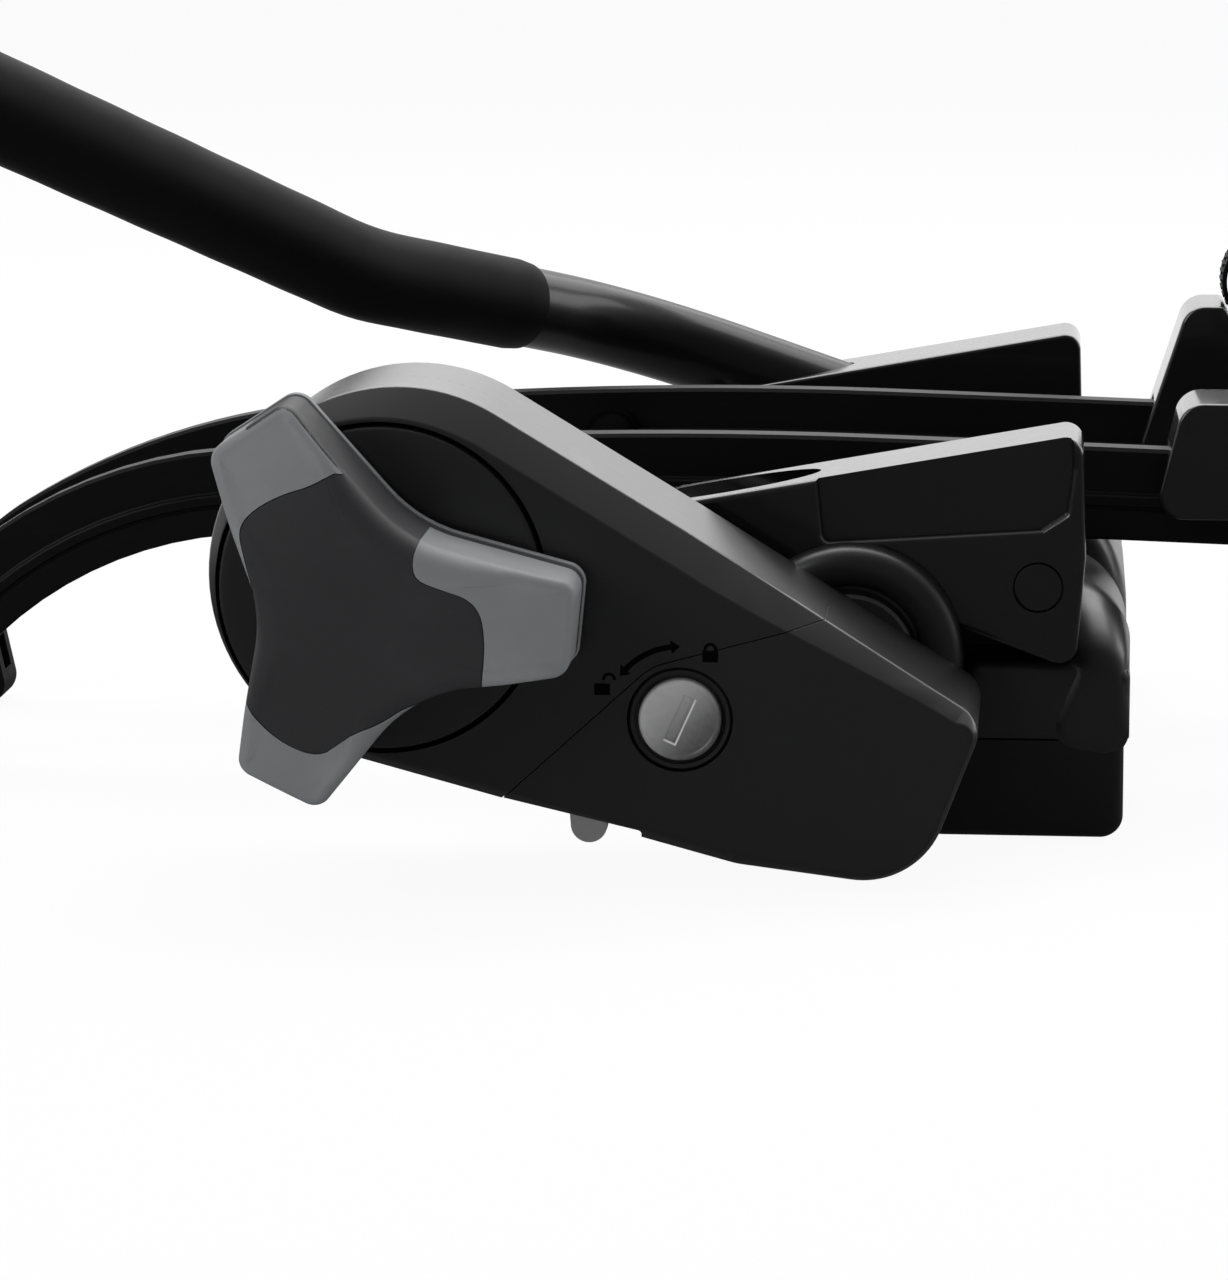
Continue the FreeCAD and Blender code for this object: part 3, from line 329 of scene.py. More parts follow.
def newPiece(name, bm):
    bmesh.ops.remove_doubles(bm, verts=bm.verts, dist=2e-7)
    bmesh.ops.recalc_face_normals(bm, faces=bm.faces)
    mesh = bpy.data.meshes.new(name)
    bm.to_mesh(mesh)
    bm.free()
    piece = bpy.data.objects.new(name, mesh)
    bpy.context.scene.collection.objects.link(piece)
    return piece


def lofted(name, rings):
    bm = bmesh.new()
    loft(bm, rings)
    return newPiece(name, bm)


def plate(name, circles, backY, frontY, backRound=0.0, frontRound=0.0, grow=0.0, turnStep=6.0):
    marks = outline(circles, turnStep)
    return lofted(name, plateRings(marks, backY, frontY, backRound, frontRound, grow))


def disc(name, centre, radius, backY, frontY, backRound=0.0, frontRound=0.0, steps=72):
    marks = []
    for k in range(steps):
        turn = 2 * math.pi * k / steps
        across, up = math.cos(turn), math.sin(turn)
        marks.append((centre[0] + radius * across, centre[1] + radius * up, across, up))
    return lofted(name, plateRings(marks, backY, frontY, backRound, frontRound))


def dropCaps(bm):       # opens a loft whose first and last ring are the same
    caps = [face for face in bm.faces if len(face.verts) > 4]
    bmesh.ops.delete(bm, geom=caps, context="FACES_ONLY")


def lathe(bm, centre, profile, steps=72):
    # profile (radius, y) turned about the line through centre (x, z) along Y
    rows = []
    for radius, y in profile:
        row = []
        for k in range(steps):
            turn = 2 * math.pi * k / steps
            row.append(spot(centre[0] + radius * math.cos(turn), y,
                            centre[1] + radius * math.sin(turn)))
        rows.append(row)
    loft(bm, rows)


def cuboid(name, low, high, turn=None, about=(0, 0, 0)):
    bm = bmesh.new()
    bmesh.ops.create_cube(bm, size=1.0)
    low, high = Vector(low), Vector(high)
    bm.transform(Matrix.Translation((high + low) / 2) @ Matrix.Diagonal((*(high - low), 1)))
    if turn:
        pivot = Matrix.Translation(about)
        bm.transform(pivot @ turn @ pivot.inverted())
    bm.transform(Matrix.Scale(mm, 4))
    return newPiece(name, bm)


def bake(piece):
    graph = bpy.context.evaluated_depsgraph_get()
    mesh = bpy.data.meshes.new_from_object(piece.evaluated_get(graph))
    piece.modifiers.clear()
    piece.data = mesh
    return piece


def carve(piece, tool, operation="DIFFERENCE"):
    step = piece.modifiers.new("carve", "BOOLEAN")
    step.object, step.operation, step.solver = tool, operation, "EXACT"
    bake(piece)
    bpy.data.objects.remove(tool)
    return piece


def copyOf(piece, name):
    twin = bpy.data.objects.new(name, piece.data.copy())
    bpy.context.scene.collection.objects.link(twin)
    return twin


def soften(piece, width, segments=2, angle=35, where=None):
    bm = bmesh.new()
    bm.from_mesh(piece.data)
    bmesh.ops.remove_doubles(bm, verts=bm.verts, dist=1e-6)
    bmesh.ops.dissolve_limit(bm, angle_limit=math.radians(0.6), verts=bm.verts, edges=bm.edges)
    if where:
        weight = bm.edges.layers.float.new("bevel_weight_edge")
        for edge in bm.edges:
            turned = len(edge.link_faces) == 2 and edge.calc_face_angle() > math.radians(angle)
            if turned and all(where(v.co / mm) for v in edge.verts):
                edge[weight] = 1.0
    bm.to_mesh(piece.data)
    bm.free()
    step = piece.modifiers.new("soften", "BEVEL")
    step.width = width * mm
    step.segments = segments
    step.limit_method = "WEIGHT" if where else "ANGLE"
    step.angle_limit = math.radians(angle)
    return bake(piece)


def finishPiece(piece, slot, body, stands=(), material=None, sharp=30):
    mesh = piece.data
    mesh.materials.clear()
    mesh.materials.append(material or finishes[slot])
    for face in mesh.polygons:
        face.use_smooth = True
        face.material_index = 0
    mesh.set_sharp_from_angle(angle=math.radians(sharp))
    step = piece.modifiers.new("shade", "WEIGHTED_NORMAL")
    step.keep_sharp = True
    bake(piece)
    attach(piece, body)
    if stands:
        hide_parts(*stands)


def stand(node, suffix, width, segments=2, angle=35, where=None):      # a rounded copy of a part
    twin = copyOf(frame["nodes"][node], node + suffix)
    finishPiece(soften(twin, width, segments, angle, where), slotOf[node], bodyOf[node], [node])


bodyOf = {node: body for body, nodes in frame["record"]["behaviour"]["bodies"].items()
          for node in nodes}
slotOf = {part["node"]: part["material_slot"] for part in frame["record"]["subparts"]}


# reel case: two front covers parted by a seam that runs round the lock

case = {
    "outline": [(5.0, 22.5, 19.5), (24.0, 37.4, 7.2), (-52.0, 55.5, 32.0), (-102.0, 72.3, 43.5),
                (-20.0, 26.0, 20.0)],
    "backY": -152.0, "frontY": -176.0, "shellY": -127.0, "cutY": (-120.0, -190.0),
    # sloping band along the upper edge: widths, direction, fade before and after it in degrees,
    # and the run in X over which it halves
    "band": 8.0, "narrow": 2.6, "least": 1.6, "bandTurn": 65.0, "bandFade": (38, 60),
    "bandEnd": (-30, 29),
    # after the dial's depth: inner radius of the black ring of painted shade in the gap round the
    # dial
    "wall": 4.0, "dialR": 38.4, "dialDeep": 2.3, "gapShadeR": 37.0, "hubR": 7.0, "lockR": 12.15,
    "seam": [(-121.0, -20.0, 1.0), (60.0, -20.0, 1.0), (60.0, 60.0, 1.0), (10.0, 66.0, 1.0),
             (-36.7, 40.3, 13.5)],
    "seamGap": 0.12, "step": [(-84.0, 8.0, 0.5), (-46.6, 8.0, 0.5), (-46.6, 13.2, 1.0),
                              (-78.0, 20.6, 0.5)],
}
knobAt = middle("dial_disc")
lockAt = middle("lock_plug")
axleAt = middle("axle")


def caseFront():
    marks = outline(case["outline"], 4.0, 5.0)
    profile = []
    for x, z, across, up in marks:
        away = (math.degrees(math.atan2(up, across)) - case["bandTurn"] + 180) % 360 - 180
        swell = math.exp(-(away / case["bandFade"][away >= 0]) ** 2)
        wide = case["narrow"] + (case["band"] - case["narrow"]) * swell
        wide = max(case["least"], wide * (1 - 0.5 * smooth(x, *case["bandEnd"])))
        edge = case["frontY"] + 0.75 * wide
        profile.append([(0, case["backY"]), (0, case["backY"] - 6), (0, edge + 0.9),
                        (-0.1, edge + 0.45), (-0.4, edge), (-wide + 0.6, case["frontY"] + 0.35),
                        (-wide, case["frontY"] + 0.08), (-wide - 0.5, case["frontY"])])
    rings = []
    for k in range(len(profile[0])):
        rings.append([spot(x + across * row[k][0], row[k][1], z + up * row[k][0])
                      for (x, z, across, up), row in zip(marks, profile)])
    front = lofted("caseFront", rings)
    inside = plate("inside", case["outline"], case["backY"] + 1, case["frontY"] + case["wall"], 0,
                   1.0, -case["wall"])
    carve(front, inside)
    x, z = knobAt.x, knobAt.z
    carve(front, disc("dial", (x, z), case["dialR"], case["frontY"] + case["dialDeep"],
                      case["frontY"] - 5, steps=128))
    carve(front, disc("hub", (x, z), case["hubR"], case["backY"], case["frontY"] - 5))
    carve(front, disc("lock", (lockAt.x, lockAt.z), case["lockR"], case["backY"],
                      case["frontY"] - 5, steps=96))
    return front


# a black ring laid in the gap round the dial disc: painted shade, standing for the shadow in that
# gap
def dialGapShade():
    inner, outer = case["gapShadeR"], case["dialR"] + 0.1
    floor = case["frontY"] + case["dialDeep"]
    back, face, lip = floor + 0.4, floor - 0.25, floor - 1.2
    bm = bmesh.new()
    lathe(bm, (knobAt.x, knobAt.z), [(inner, back), (outer, back), (outer, lip),
                                     (outer - 0.35, lip), (outer - 0.45, face), (inner, face),
                                     (inner, back)], 128)
    dropCaps(bm)
    finishPiece(newPiece("dial_seal", bm), "gloss_black", "reel_case", material=printAndShadeBlack)


# near-black for the printed symbols, and for the ring of painted shade in the dial gap
printAndShadeBlack = rubbery("symbolPrintAndGapShade", (0.0008, 0.0008, 0.0008), 0.7, 0.3, 0.05)
front = caseFront()
lockCover = copyOf(front, "lock_cover_shell")
carve(lockCover, plate("seamIn", case["seam"], *case["cutY"], grow=-case["seamGap"]),
      "INTERSECT")
carve(lockCover, plate("step", case["step"], *case["cutY"]))
carve(front, plate("seamOut", case["seam"], *case["cutY"], grow=case["seamGap"]))
# ring of painted shade in the dial gap
dialGapShade()
front.name = "reel_cover_shell"
finishPiece(soften(front, 0.3), "shell_black", "reel_case", ["reel_cover"])
finishPiece(soften(lockCover, 0.3), "shell_black", "reel_case", ["lock_cover"])
stand("rear_shell", "_body", 3.2, 4, 60, lambda p: p.y > case["shellY"] - 0.1 and p.z > 6)
print("reel case covers done")


# lock: sleeve, keyed plug and the printed symbols round it

lock = {"sleeveR": 11.9, "plugR": 9.5, "slotWide": 3.0, "slotLong": 11.5, "slotDeep": 0.45,
        "lean": 24.0, "print": 0.06, "arcR": 17.0, "arcWide": 1.3,
        "arc": (97, 137), "head": 1.6,      # ends of the double arrow in degrees, half its head
        "padlocks": [(66, 17.0, 0.0), (157, 19.4, 1.0)],        # direction, reach, open
        "padlock": 2.9}


# pale steel for the painted highlight along the key slot's edges
paintedSlotGlint = brushed("slotGlintSteel", (0.85, 0.85, 0.86), 0.22, (1, 1, 1), 600.0, metallic=0.15)
# material of the plug's face, with a painted highlight at its upper left
face = turned("plugFacePaintedLight", (lockAt.z - lockAt.x) * mm, 0.012, (0.1, 0.1, 0.103),
              (0.85, 0.85, 0.86), 0.34)


def lockSleeve():
    centre = (lockAt.x, lockAt.z)
    r, p = lock["sleeveR"], lock["plugR"]
    bm = bmesh.new()
    lathe(bm, centre, [(p + 0.05, -154.0), (r, -154.0), (r, -174.9), (r - 0.5, -175.4),
                       (r - 1.4, -175.2), (p + 0.9, -174.6), (p + 0.05, -174.2),
                       (p + 0.05, -154.0)], 96)
    dropCaps(bm)
    sleeve = newPiece("lock_sleeve_ring", bm)
    finishPiece(sleeve, "shell_black", "reel_case", ["lock_sleeve"])


def lockPlug():
    centre = (lockAt.x, lockAt.z)
    r = lock["plugR"]
    bm = bmesh.new()
    lathe(bm, centre, [(0.01, -158.0), (r, -158.0), (r, -175.9), (r - 0.12, -176.4),
                       (r - 0.4, -176.75), (r - 0.8, -176.9), (r - 1.15, -176.8),
                       (r - 1.4, -176.55), (0.01, -176.55)], 96)
    plug = newPiece("lock_plug_face", bm)
    lean = Matrix.Rotation(math.radians(lock["lean"]), 4, "Y")
    x, z = centre
    wide, long = lock["slotWide"] / 2, lock["slotLong"] / 2
    floor = -176.55 + lock["slotDeep"]
    carve(plug, cuboid("slot", (x - wide, -190, z - long), (x + wide, floor, z + long), lean,
                       (x, 0, z)))
    finishPiece(soften(plug, 0.14), "steel", "lock_barrel", ["lock_plug"], face)
    # painted highlight: a pale strip along only the right and bottom edges of the key slot, where
    # light catches them
    edge = cuboid("lock_slot_edge", (x - wide - 0.1, -176.75, z - long - 0.1),
                  (x + wide + 0.1, floor, z + long + 0.1), lean, (x, 0, z))
    carve(edge, cuboid("room", (x - wide - 1, -190, z - long + 0.35),
                       (x + wide - 0.35, -160, z + long + 1), lean, (x, 0, z)))
    finishPiece(edge, "steel", "lock_barrel", material=paintedSlotGlint)


def arcBar(bm, centre, radius, wide, start, end, backY, frontY, steps=24):
    half = wide / 2
    rows = []
    for k in range(steps + 1):
        turn = math.radians(start + (end - start) * k / steps)
        across, up = math.cos(turn), math.sin(turn)
        rows.append([spot(centre[0] + reach * across, y, centre[1] + reach * up)
                     for reach, y in ((radius - half, backY), (radius + half, backY),
                                      (radius + half, frontY), (radius - half, frontY))])
    loft(bm, rows)


def prism(bm, corners, backY, frontY):
    loft(bm, [[spot(x, y, z) for x, z in corners] for y in (backY, frontY)])


def padlock(bm, x, z, size, lift, backY, frontY):
    half, tall = 0.62 * size, 0.92 * size
    prism(bm, [(x - half, z - tall), (x + half, z - tall), (x + half, z), (x - half, z)], backY,
          frontY)
    arcBar(bm, (x + lift * 0.55 * size, z + 0.1 * size + 0.25 * lift * size), 0.42 * size,
           0.24 * size, -10, 190, backY, frontY, 16)


def lockSymbols():
    centre = (lockAt.x, lockAt.z)
    backY, frontY = case["frontY"] + 0.3, case["frontY"] - lock["print"]
    radius, wide = lock["arcR"], lock["arcWide"]
    bm = bmesh.new()
    arcBar(bm, centre, radius, wide, *lock["arc"], backY, frontY)
    for turn, way in ((lock["arc"][0], -1), (lock["arc"][1], 1)):
        corners = []
        for away, side in ((0, lock["head"]), (7, 0), (0, -lock["head"])):
            angle = math.radians(turn + way * away)
            corners.append((centre[0] + (radius + side) * math.cos(angle),
                            centre[1] + (radius + side) * math.sin(angle)))
        prism(bm, corners, backY, frontY)
    for turn, reach, lift in lock["padlocks"]:
        angle = math.radians(turn)
        padlock(bm, centre[0] + reach * math.cos(angle), centre[1] + reach * math.sin(angle) + 0.6,
                lock["padlock"], lift, backY, frontY)
    symbols = newPiece("lock_symbols", bm)
    finishPiece(symbols, "gloss_black", "reel_case", material=printAndShadeBlack)


lockSleeve()
lockPlug()
lockSymbols()
print("lock done")


# dial disc and the three-lobed tension knob

knob = {
    # direction, tip reach, inner then outer border of the grip as (turn off it, radius)
    "lobes": [
        (-5.5, 43.0, [(-34, 33), (-20, 29.5), (-6, 27.6), (6, 26.2), (14, 23.6), (22, 18.6),
                      (34, 14.8), (46, 14.8), (56, 18.0), (59, 24.0)],
         [(62, 60), (30, 60), (0, 60), (-30, 60), (-48, 60), (-40, 40)]),
        (123.5, 44.8, [(-22.5, 31.6), (-11, 30.2), (0, 31.4), (13, 33.0), (20, 33.4),
                       (25, 32.4), (31, 29.6), (40, 26.8), (50, 24.9), (56, 25.4)],
         [(62, 60), (30, 60), (4, 60)]),
        (243.9, 43.0, [(-34, 33), (-20, 34.8), (-4, 35.3), (9, 34.6), (15, 30.6), (22, 27.2),
                       (34, 25.4), (48, 23.4), (57, 24.6)],
         [(62, 60), (30, 60), (0, 60), (-30, 60), (-48, 60), (-40, 40)]),
    ],
    "spread": 9.5, "tipR": 4.2, "waist": [(53.6, 33.4), (56.0, 31.4), (56.0, 31.6)],
    "backY": -180.0, "frontY": -211.0,
    "backEdge": [(-0.9, 0.0), (-0.25, 0.35), (0.0, 1.1)],       # growth, distance from the back
    # domed front: fall at its radius, and rings as shares of the way out
    "drop": 7.5, "domeR": 46.0, "domePower": 2.4,
    "domeRings": (0.93, 0.82, 0.68, 0.52, 0.36, 0.2, 0.08),
    "tipRound": 2.6, "waistRound": 6.5, "waistRun": (24, 38),       # radii between the two
    "rim": 3.0, "gripY": -186.5, "gap": 0.12, "neckR": 18.0,
    "flank": (1, -26.5, 1.0, 0.5),      # lobe whose flank stays black: from, to, inset
    # section of the dial as (radius, y)
    "dial": [(5.0, -174.2), (37.2, -174.2), (37.4, -174.5), (37.4, -175.9), (37.1, -176.5),
             (36.4, -176.8), (34.0, -176.75), (20, -176.6), (18.2, -176.6), (5.0, -176.6)],
}


def around(reach, turn):
    return (knobAt.x + reach * math.cos(math.radians(turn)),
            knobAt.z + reach * math.sin(math.radians(turn)))


def knobMarks():
    circles = []
    for i, (turn, reach, inner, outer) in enumerate(knob["lobes"]):
        for side in (-1, 1):
            circles.append((*around(reach, turn + side * knob["spread"]), knob["tipR"]))
        ahead = knob["lobes"][(i + 1) % 3][0]
        between = turn + ((ahead - turn) % 360) / 2
        far, radius = knob["waist"][i]
        circles.append((*around(far, between), -radius))
    return outline(circles, 5.0, 2.5)


def domeY(radius):
    return knob["frontY"] + knob["drop"] * (radius / knob["domeR"]) ** knob["domePower"]


def knobBlank():
    marks = knobMarks()
    steps = 6       # across the rounding of the front edge
    rings = [ring(marks, grow, knob["backY"] - ahead) for grow, ahead in knob["backEdge"]]
    edges = [[] for k in range(steps + 1)]
    inner = []
    for x, z, across, up in marks:
        radius = math.hypot(x - knobAt.x, z - knobAt.z)
        waist = 1 - smooth(radius, *knob["waistRun"])
        curve = knob["tipRound"] + (knob["waistRound"] - knob["tipRound"]) * waist
        top = domeY(radius - curve)
        for k in range(steps + 1):
            turn = math.pi / 2 * k / steps
            grow = -curve * (1 - math.cos(turn))
            edges[k].append(spot(x + across * grow, top + curve * (1 - math.sin(turn)),
                                 z + up * grow))
        inner.append((x - across * curve - knobAt.x, z - up * curve - knobAt.z))
    rings += edges
    for share in knob["domeRings"]:
        rings.append([spot(knobAt.x + x * share, domeY(math.hypot(x, z) * share),
                           knobAt.z + z * share) for x, z in inner])
    return lofted("knobBlank", rings)


def eased(points):      # corners cut twice, so that the line runs smoothly
    for k in range(2):
        cut = [points[0]]
        for (a0, r0), (a1, r1) in zip(points, points[1:]):
            cut += [(a0 + (a1 - a0) * t, r0 + (r1 - r0) * t) for t in (0.25, 0.75)]
        points = cut + [points[-1]]
    return points


def gripRegion(lobe, grow):
    turn, reach, inner, outer = knob["lobes"][lobe]
    inner = eased(inner)
    corners = [around(radius + grow, turn + away) for away, radius in inner]
    corners += [around(radius + (grow if radius > 50 else -grow), turn + away)
                for away, radius in outer]
    flanked, low, high, inset = knob["flank"]
    if lobe == flanked:
        edge = []
        for x, z, across, up in knobMarks():
            away = (math.degrees(math.atan2(z - knobAt.z, x - knobAt.x)) - turn + 180) % 360 - 180
            if low < away < high:
                edge.append((away, (x - across * (inset - grow), z - up * (inset - grow))))
        corners += [point for away, point in sorted(edge, reverse=True)]
    bm = bmesh.new()
    prism(bm, corners, knob["gripY"] - grow, -230)
    return newPiece("region", bm)


def makeKnob():
    blank = knobBlank()
    for lobe in range(3):
        grip = copyOf(blank, "knob_grip_pad_%d" % (lobe + 1))
        carve(grip, gripRegion(lobe, knob["gap"]), "INTERSECT")
        finishPiece(soften(grip, 0.25, 2, 50), "grip_grey", "knob", ["knob_grip_%d" % (lobe + 1)])
    for lobe in range(3):       # what the grips leave is the core
        carve(blank, gripRegion(lobe, -knob["gap"]))
    blank.name = "knob_core_body"
    centre, back = (knobAt.x, knobAt.z), knob["backY"]
    carve(blank, disc("knob_neck", centre, knob["neckR"], -176.9, back - 0.2), "UNION")
    finishPiece(soften(blank, 0.2, 2, 50), "knob_core", "knob", ["knob_core"])
    rim = lofted("knob_rim", plateRings(knobMarks(), back + 0.05, back - knob["rim"], 0.5, 0.3,
                                        0.45))
    carve(rim, disc("rimHole", centre, knob["neckR"] - 0.1, -170, -190))
    finishPiece(rim, "grip_grey", "knob")


def makeDial():
    bm = bmesh.new()
    lathe(bm, (knobAt.x, knobAt.z), knob["dial"], 128)
    finishPiece(newPiece("dial_face", bm), "shell_black", "knob", ["dial_disc"])


makeKnob()
makeDial()
print("knob done")


# wedge heads that hold the tube; the far one mirrors the near one

head = {
    "outline": [(49.5, 48.5, 4.5), (51.0, 70.0, 4.6), (50.5, 94.0, 4.3), (-40.0, 72.0, 10.0),
                (20.0, 60.0, 5.0)],
    "lobe": 25.0, "back": 89.0, "face": 119.0, "round": 1.6,
    "panel": [(50.9, 91.0, 1.2), (50.0, 110.0, 1.0), (-8.0, 98.0, 1.0), (-5.0, 74.6, 1.6),
              (44.5, 77.6, 1.2), (49.6, 81.0, 1.2)],
    "panelDeep": 2.0, "panelFlare": 1.5, "lean": 19.0, "socket": (12.0, 104.0, 69.1),
    "bore": 11.3, "boreLong": 120.0, "capR": 5.8, "capAt": (44.4, 62.5), "capGap": 0.28,
}


def makeHead(side, node):
    back, face = side * head["back"], side * head["face"]
    wedge = plate(node + "_head_body", head["outline"], back, face, 1.0, head["round"])
    carve(wedge, disc("lobe", (axleAt.x, axleAt.z), head["lobe"], back, face, 1.0, head["round"],
                      96), "UNION")
    marks = outline(head["panel"])
    flare, deep = head["panelFlare"], head["panelDeep"]
    rows = [ring(marks, 0.0, face - side * deep), ring(marks, 0.15, face - side * deep * 0.6),
            ring(marks, flare * 0.5, face - side * deep * 0.2), ring(marks, flare, face),
            ring(marks, flare + 2, face + side * 4)]
    carve(wedge, lofted("panel", rows))
    bm = bmesh.new()
    bmesh.ops.create_cone(bm, segments=64, radius1=head["bore"], radius2=head["bore"],
                          depth=head["boreLong"], cap_ends=True)
    x, y, z = head["socket"]
    lean = Matrix.Rotation(math.radians(head["lean"] - 90), 4, "Y")
    bm.transform(Matrix.Scale(mm, 4) @ Matrix.Translation((x, side * y, z)) @ lean
                 @ Matrix.Translation((0, 0, head["boreLong"] / 2)))
    carve(wedge, newPiece("socket", bm))
    carve(wedge, disc("seat", head["capAt"], head["capR"] + head["capGap"], face - side * 3,
                      face + side * 3, steps=64))
    finishPiece(wedge, "gloss_black", "hub", [node + "_head"])
    r = head["capR"]
    bm = bmesh.new()
    lathe(bm, head["capAt"], [(0.01, face - side * 3), (r, face - side * 3),
                              (r, face - side * 0.6), (r - 0.2, face - side * 0.25),
                              (r - 0.6, face - side * 0.1), (r - 1.4, face - side * 0.2),
                              (0.01, face - side * 0.15)], 64)
    finishPiece(newPiece(node + "_head_plug", bm), "gloss_black", "hub", [node + "_head_cap"])


makeHead(-1, "near")
makeHead(1, "far")
print("heads done")


# base: glossy upper shell over a matt lower shell, swelling at its right end towards the hub cover

base = {
    "upper": ([(61.2, 20.0, 5.5), (62.7, 39.2, 4.0), (0.0, 46.0, 17.0), (-21.0, 20.0, 5.0)],
              [(61.2, 20.0, 5.5), (62.7, 39.2, 4.0), (31.0, 39.2, 4.0), (31.0, 20.0, 4.0)]),
    "lower": ([(60.0, 5.5, 5.5), (61.4, 30.0, 4.0), (-20.0, 30.0, 4.0), (-18.0, 8.0, 8.0)],
              [(60.0, 5.5, 5.5), (61.4, 30.0, 4.0), (22.0, 30.0, 4.0), (22.0, 4.0, 4.0)]),
    "parting": 24.0, "gap": 0.35, "coreHalf": 89.0, "wingHalf": 111.0, "coreRound": 2.0,
    "wingRound": 3.0, "slot": (38.5, 51.5, 25.0),
    # swelling: Y, then the circle at its top; below it, circles at its foot
    "swell": [(38.5, 46.0, 40.0, 20.6), (60.0, 47.0, 40.0, 19.7), (85.0, 51.0, 44.0, 15.7),
              (95.0, 55.0, 46.0, 11.7), (102.0, 57.2, 44.0, 9.4), (106.0, 58.2, 42.0, 8.3),
              (108.6, 58.7, 40.6, 7.4), (110.4, 59.0, 39.4, 6.2), (111.5, 59.2, 38.2, 4.6),
              (112.0, 59.4, 36.8, 2.8)],
    "swellFoot": [(60.4, 26.4, 6.2), (54.5, 27.4, 6.2)],
    "cover": [(62.7, 39.2, 4.0), (36.0, 44.0, 30.6), (0.0, 50.0, 22.0), (-16.0, 40.0, 6.0)],
    "coverHalf": 38.0, "coverRound": 8.0,
}


def makeBase():
    inner, outer, slotEnd = base["slot"]
    for name, cutLow, cutHigh in (("upper", -50, base["parting"] + base["gap"]),
                                  ("lower", base["parting"], 200)):
        core, wing = base[name]
        half = base["coreHalf"]
        block = plate("base_%s_shell" % name, core, half, -half, base["coreRound"],
                      base["coreRound"], turnStep=5.0)
        half = base["wingHalf"]
        carve(block, plate("wing", wing, half, -half, base["wingRound"], base["wingRound"],
                           turnStep=8.0), "UNION")
        for side in (-1, 1):
            low, high = sorted((side * inner, side * outer))
            carve(block, cuboid("slot", (-150, low, -10), (slotEnd, high, 150)))
        carve(block, cuboid("split", (-150, -150, cutLow), (150, 150, cutHigh)))
        soften(block, 0.5, 2, 60)
        if name == "upper":
            finishPiece(block, "gloss_black", "hub", ["base_block"], hull)
        else:
            finishPiece(block, "gloss_black", "hub", material=pan)
    for side, name in ((-1, "near"), (1, "far")):
        rows = []
        for y, x, z, r in base["swell"]:
            feet = [(fx, fz, min(fr, r)) for fx, fz, fr in base["swellFoot"]]
            rows.append(ring(hullMarks([(x, z, r)] + feet), 0, side * y))
        finishPiece(lofted(name + "_swell", rows), "gloss_black", "hub", material=hull)
    half = base["coverHalf"]
    cover = plate("hub_cover_shell", base["cover"], half, -half, base["coverRound"],
                  base["coverRound"], turnStep=4.0)
    finishPiece(cover, "gloss_black", "hub", ["hub_cover"], hull)


makeBase()
stand("base_pad", "_sole", 0.5)
stand("far_cap", "_dome", 2.5, 4)


# pivot ring between the reel case and the near head

pivot = {"outer": 27.0, "inner": 9.0, "nearY": -127.0, "farY": -119.2, "wide": 10.0, "deep": 4.6}


def makePivotRing():
    r, near, far = pivot["outer"], pivot["nearY"], pivot["farY"]
    profile = [(pivot["inner"], far), (r - 0.6, far), (r, far - 0.6)]
    for k in range(13):
        turn = math.radians(180 * k / 12)
        profile.append((r - pivot["wide"] * (1 - math.cos(turn)) / 2 - 0.1,
                        near + pivot["deep"] * (1 - math.sin(turn)) + 0.05))
    profile += [(r - pivot["wide"] - 0.9, near + pivot["deep"]),
                (r - pivot["wide"] - 1.5, near + 0.8), (r - pivot["wide"] - 2.3, near),
                (pivot["inner"], near), (pivot["inner"], far)]
    bm = bmesh.new()
    lathe(bm, (axleAt.x, axleAt.z), profile, 96)
    dropCaps(bm)
    collar = newPiece("pivot_ring_collar", bm)
    finishPiece(collar, "gloss_black", "reel_case", ["pivot_ring"], hull)


makePivotRing()
stand("outlet_grommet", "_lip", 0.5)
stand("release_lever", "_tab", 1.2, 3)
print("base and pivot done")


# arms: a ribbed flat section swept along a straight run, a camber and a curl

arm = {
    "endX": 330.0, "endZ": 66.5, "slope": 1.8, "straight": 330.0, "y": 45.0, "tall": 23.0,
    "thin": 21.4, "thinRun": (60.0, -170.0),        # height at the curl, X over which it shrinks
    # bends of each arm from the straight run on: radius, degrees
    "near_arm": [(1360.0, 6.8), (110.0, 59.5)],
    "far_arm": [(1215.0, 6.9), (180.0, 27.0), (55.0, 27.0)],
    # half of the section as (y, share of the height), between the flats of top and bottom
    "flat": 3.3,
    "section": [(4.0, 0.46), (4.0, 0.02), (4.3, 0.0), (5.2, -0.01), (5.5, -0.03), (5.5, -0.125),
                (4.9, -0.14), (4.9, -0.16), (5.5, -0.175), (5.5, -0.47), (5.0, -0.5)],
}


def armStations(node):
    x, z, turn = arm["endX"], arm["endZ"], math.radians(-arm["slope"])
    stations = []
    runs = [(None, 6)] + [(bend, 14) for bend in arm[node]]
    for bend, count in runs:
        for k in range(count):
            stations.append((x, z, turn))
            if bend:
                radius, sweep = bend[0], math.radians(bend[1]) / count
                step, after = 2 * radius * math.sin(sweep / 2), turn + sweep / 2
            else:
                step, after, sweep = arm["straight"] / count, turn, 0.0
            x, z, turn = x - step * math.cos(after), z - step * math.sin(after), turn + sweep
    stations.append((x, z, turn))
    return stations


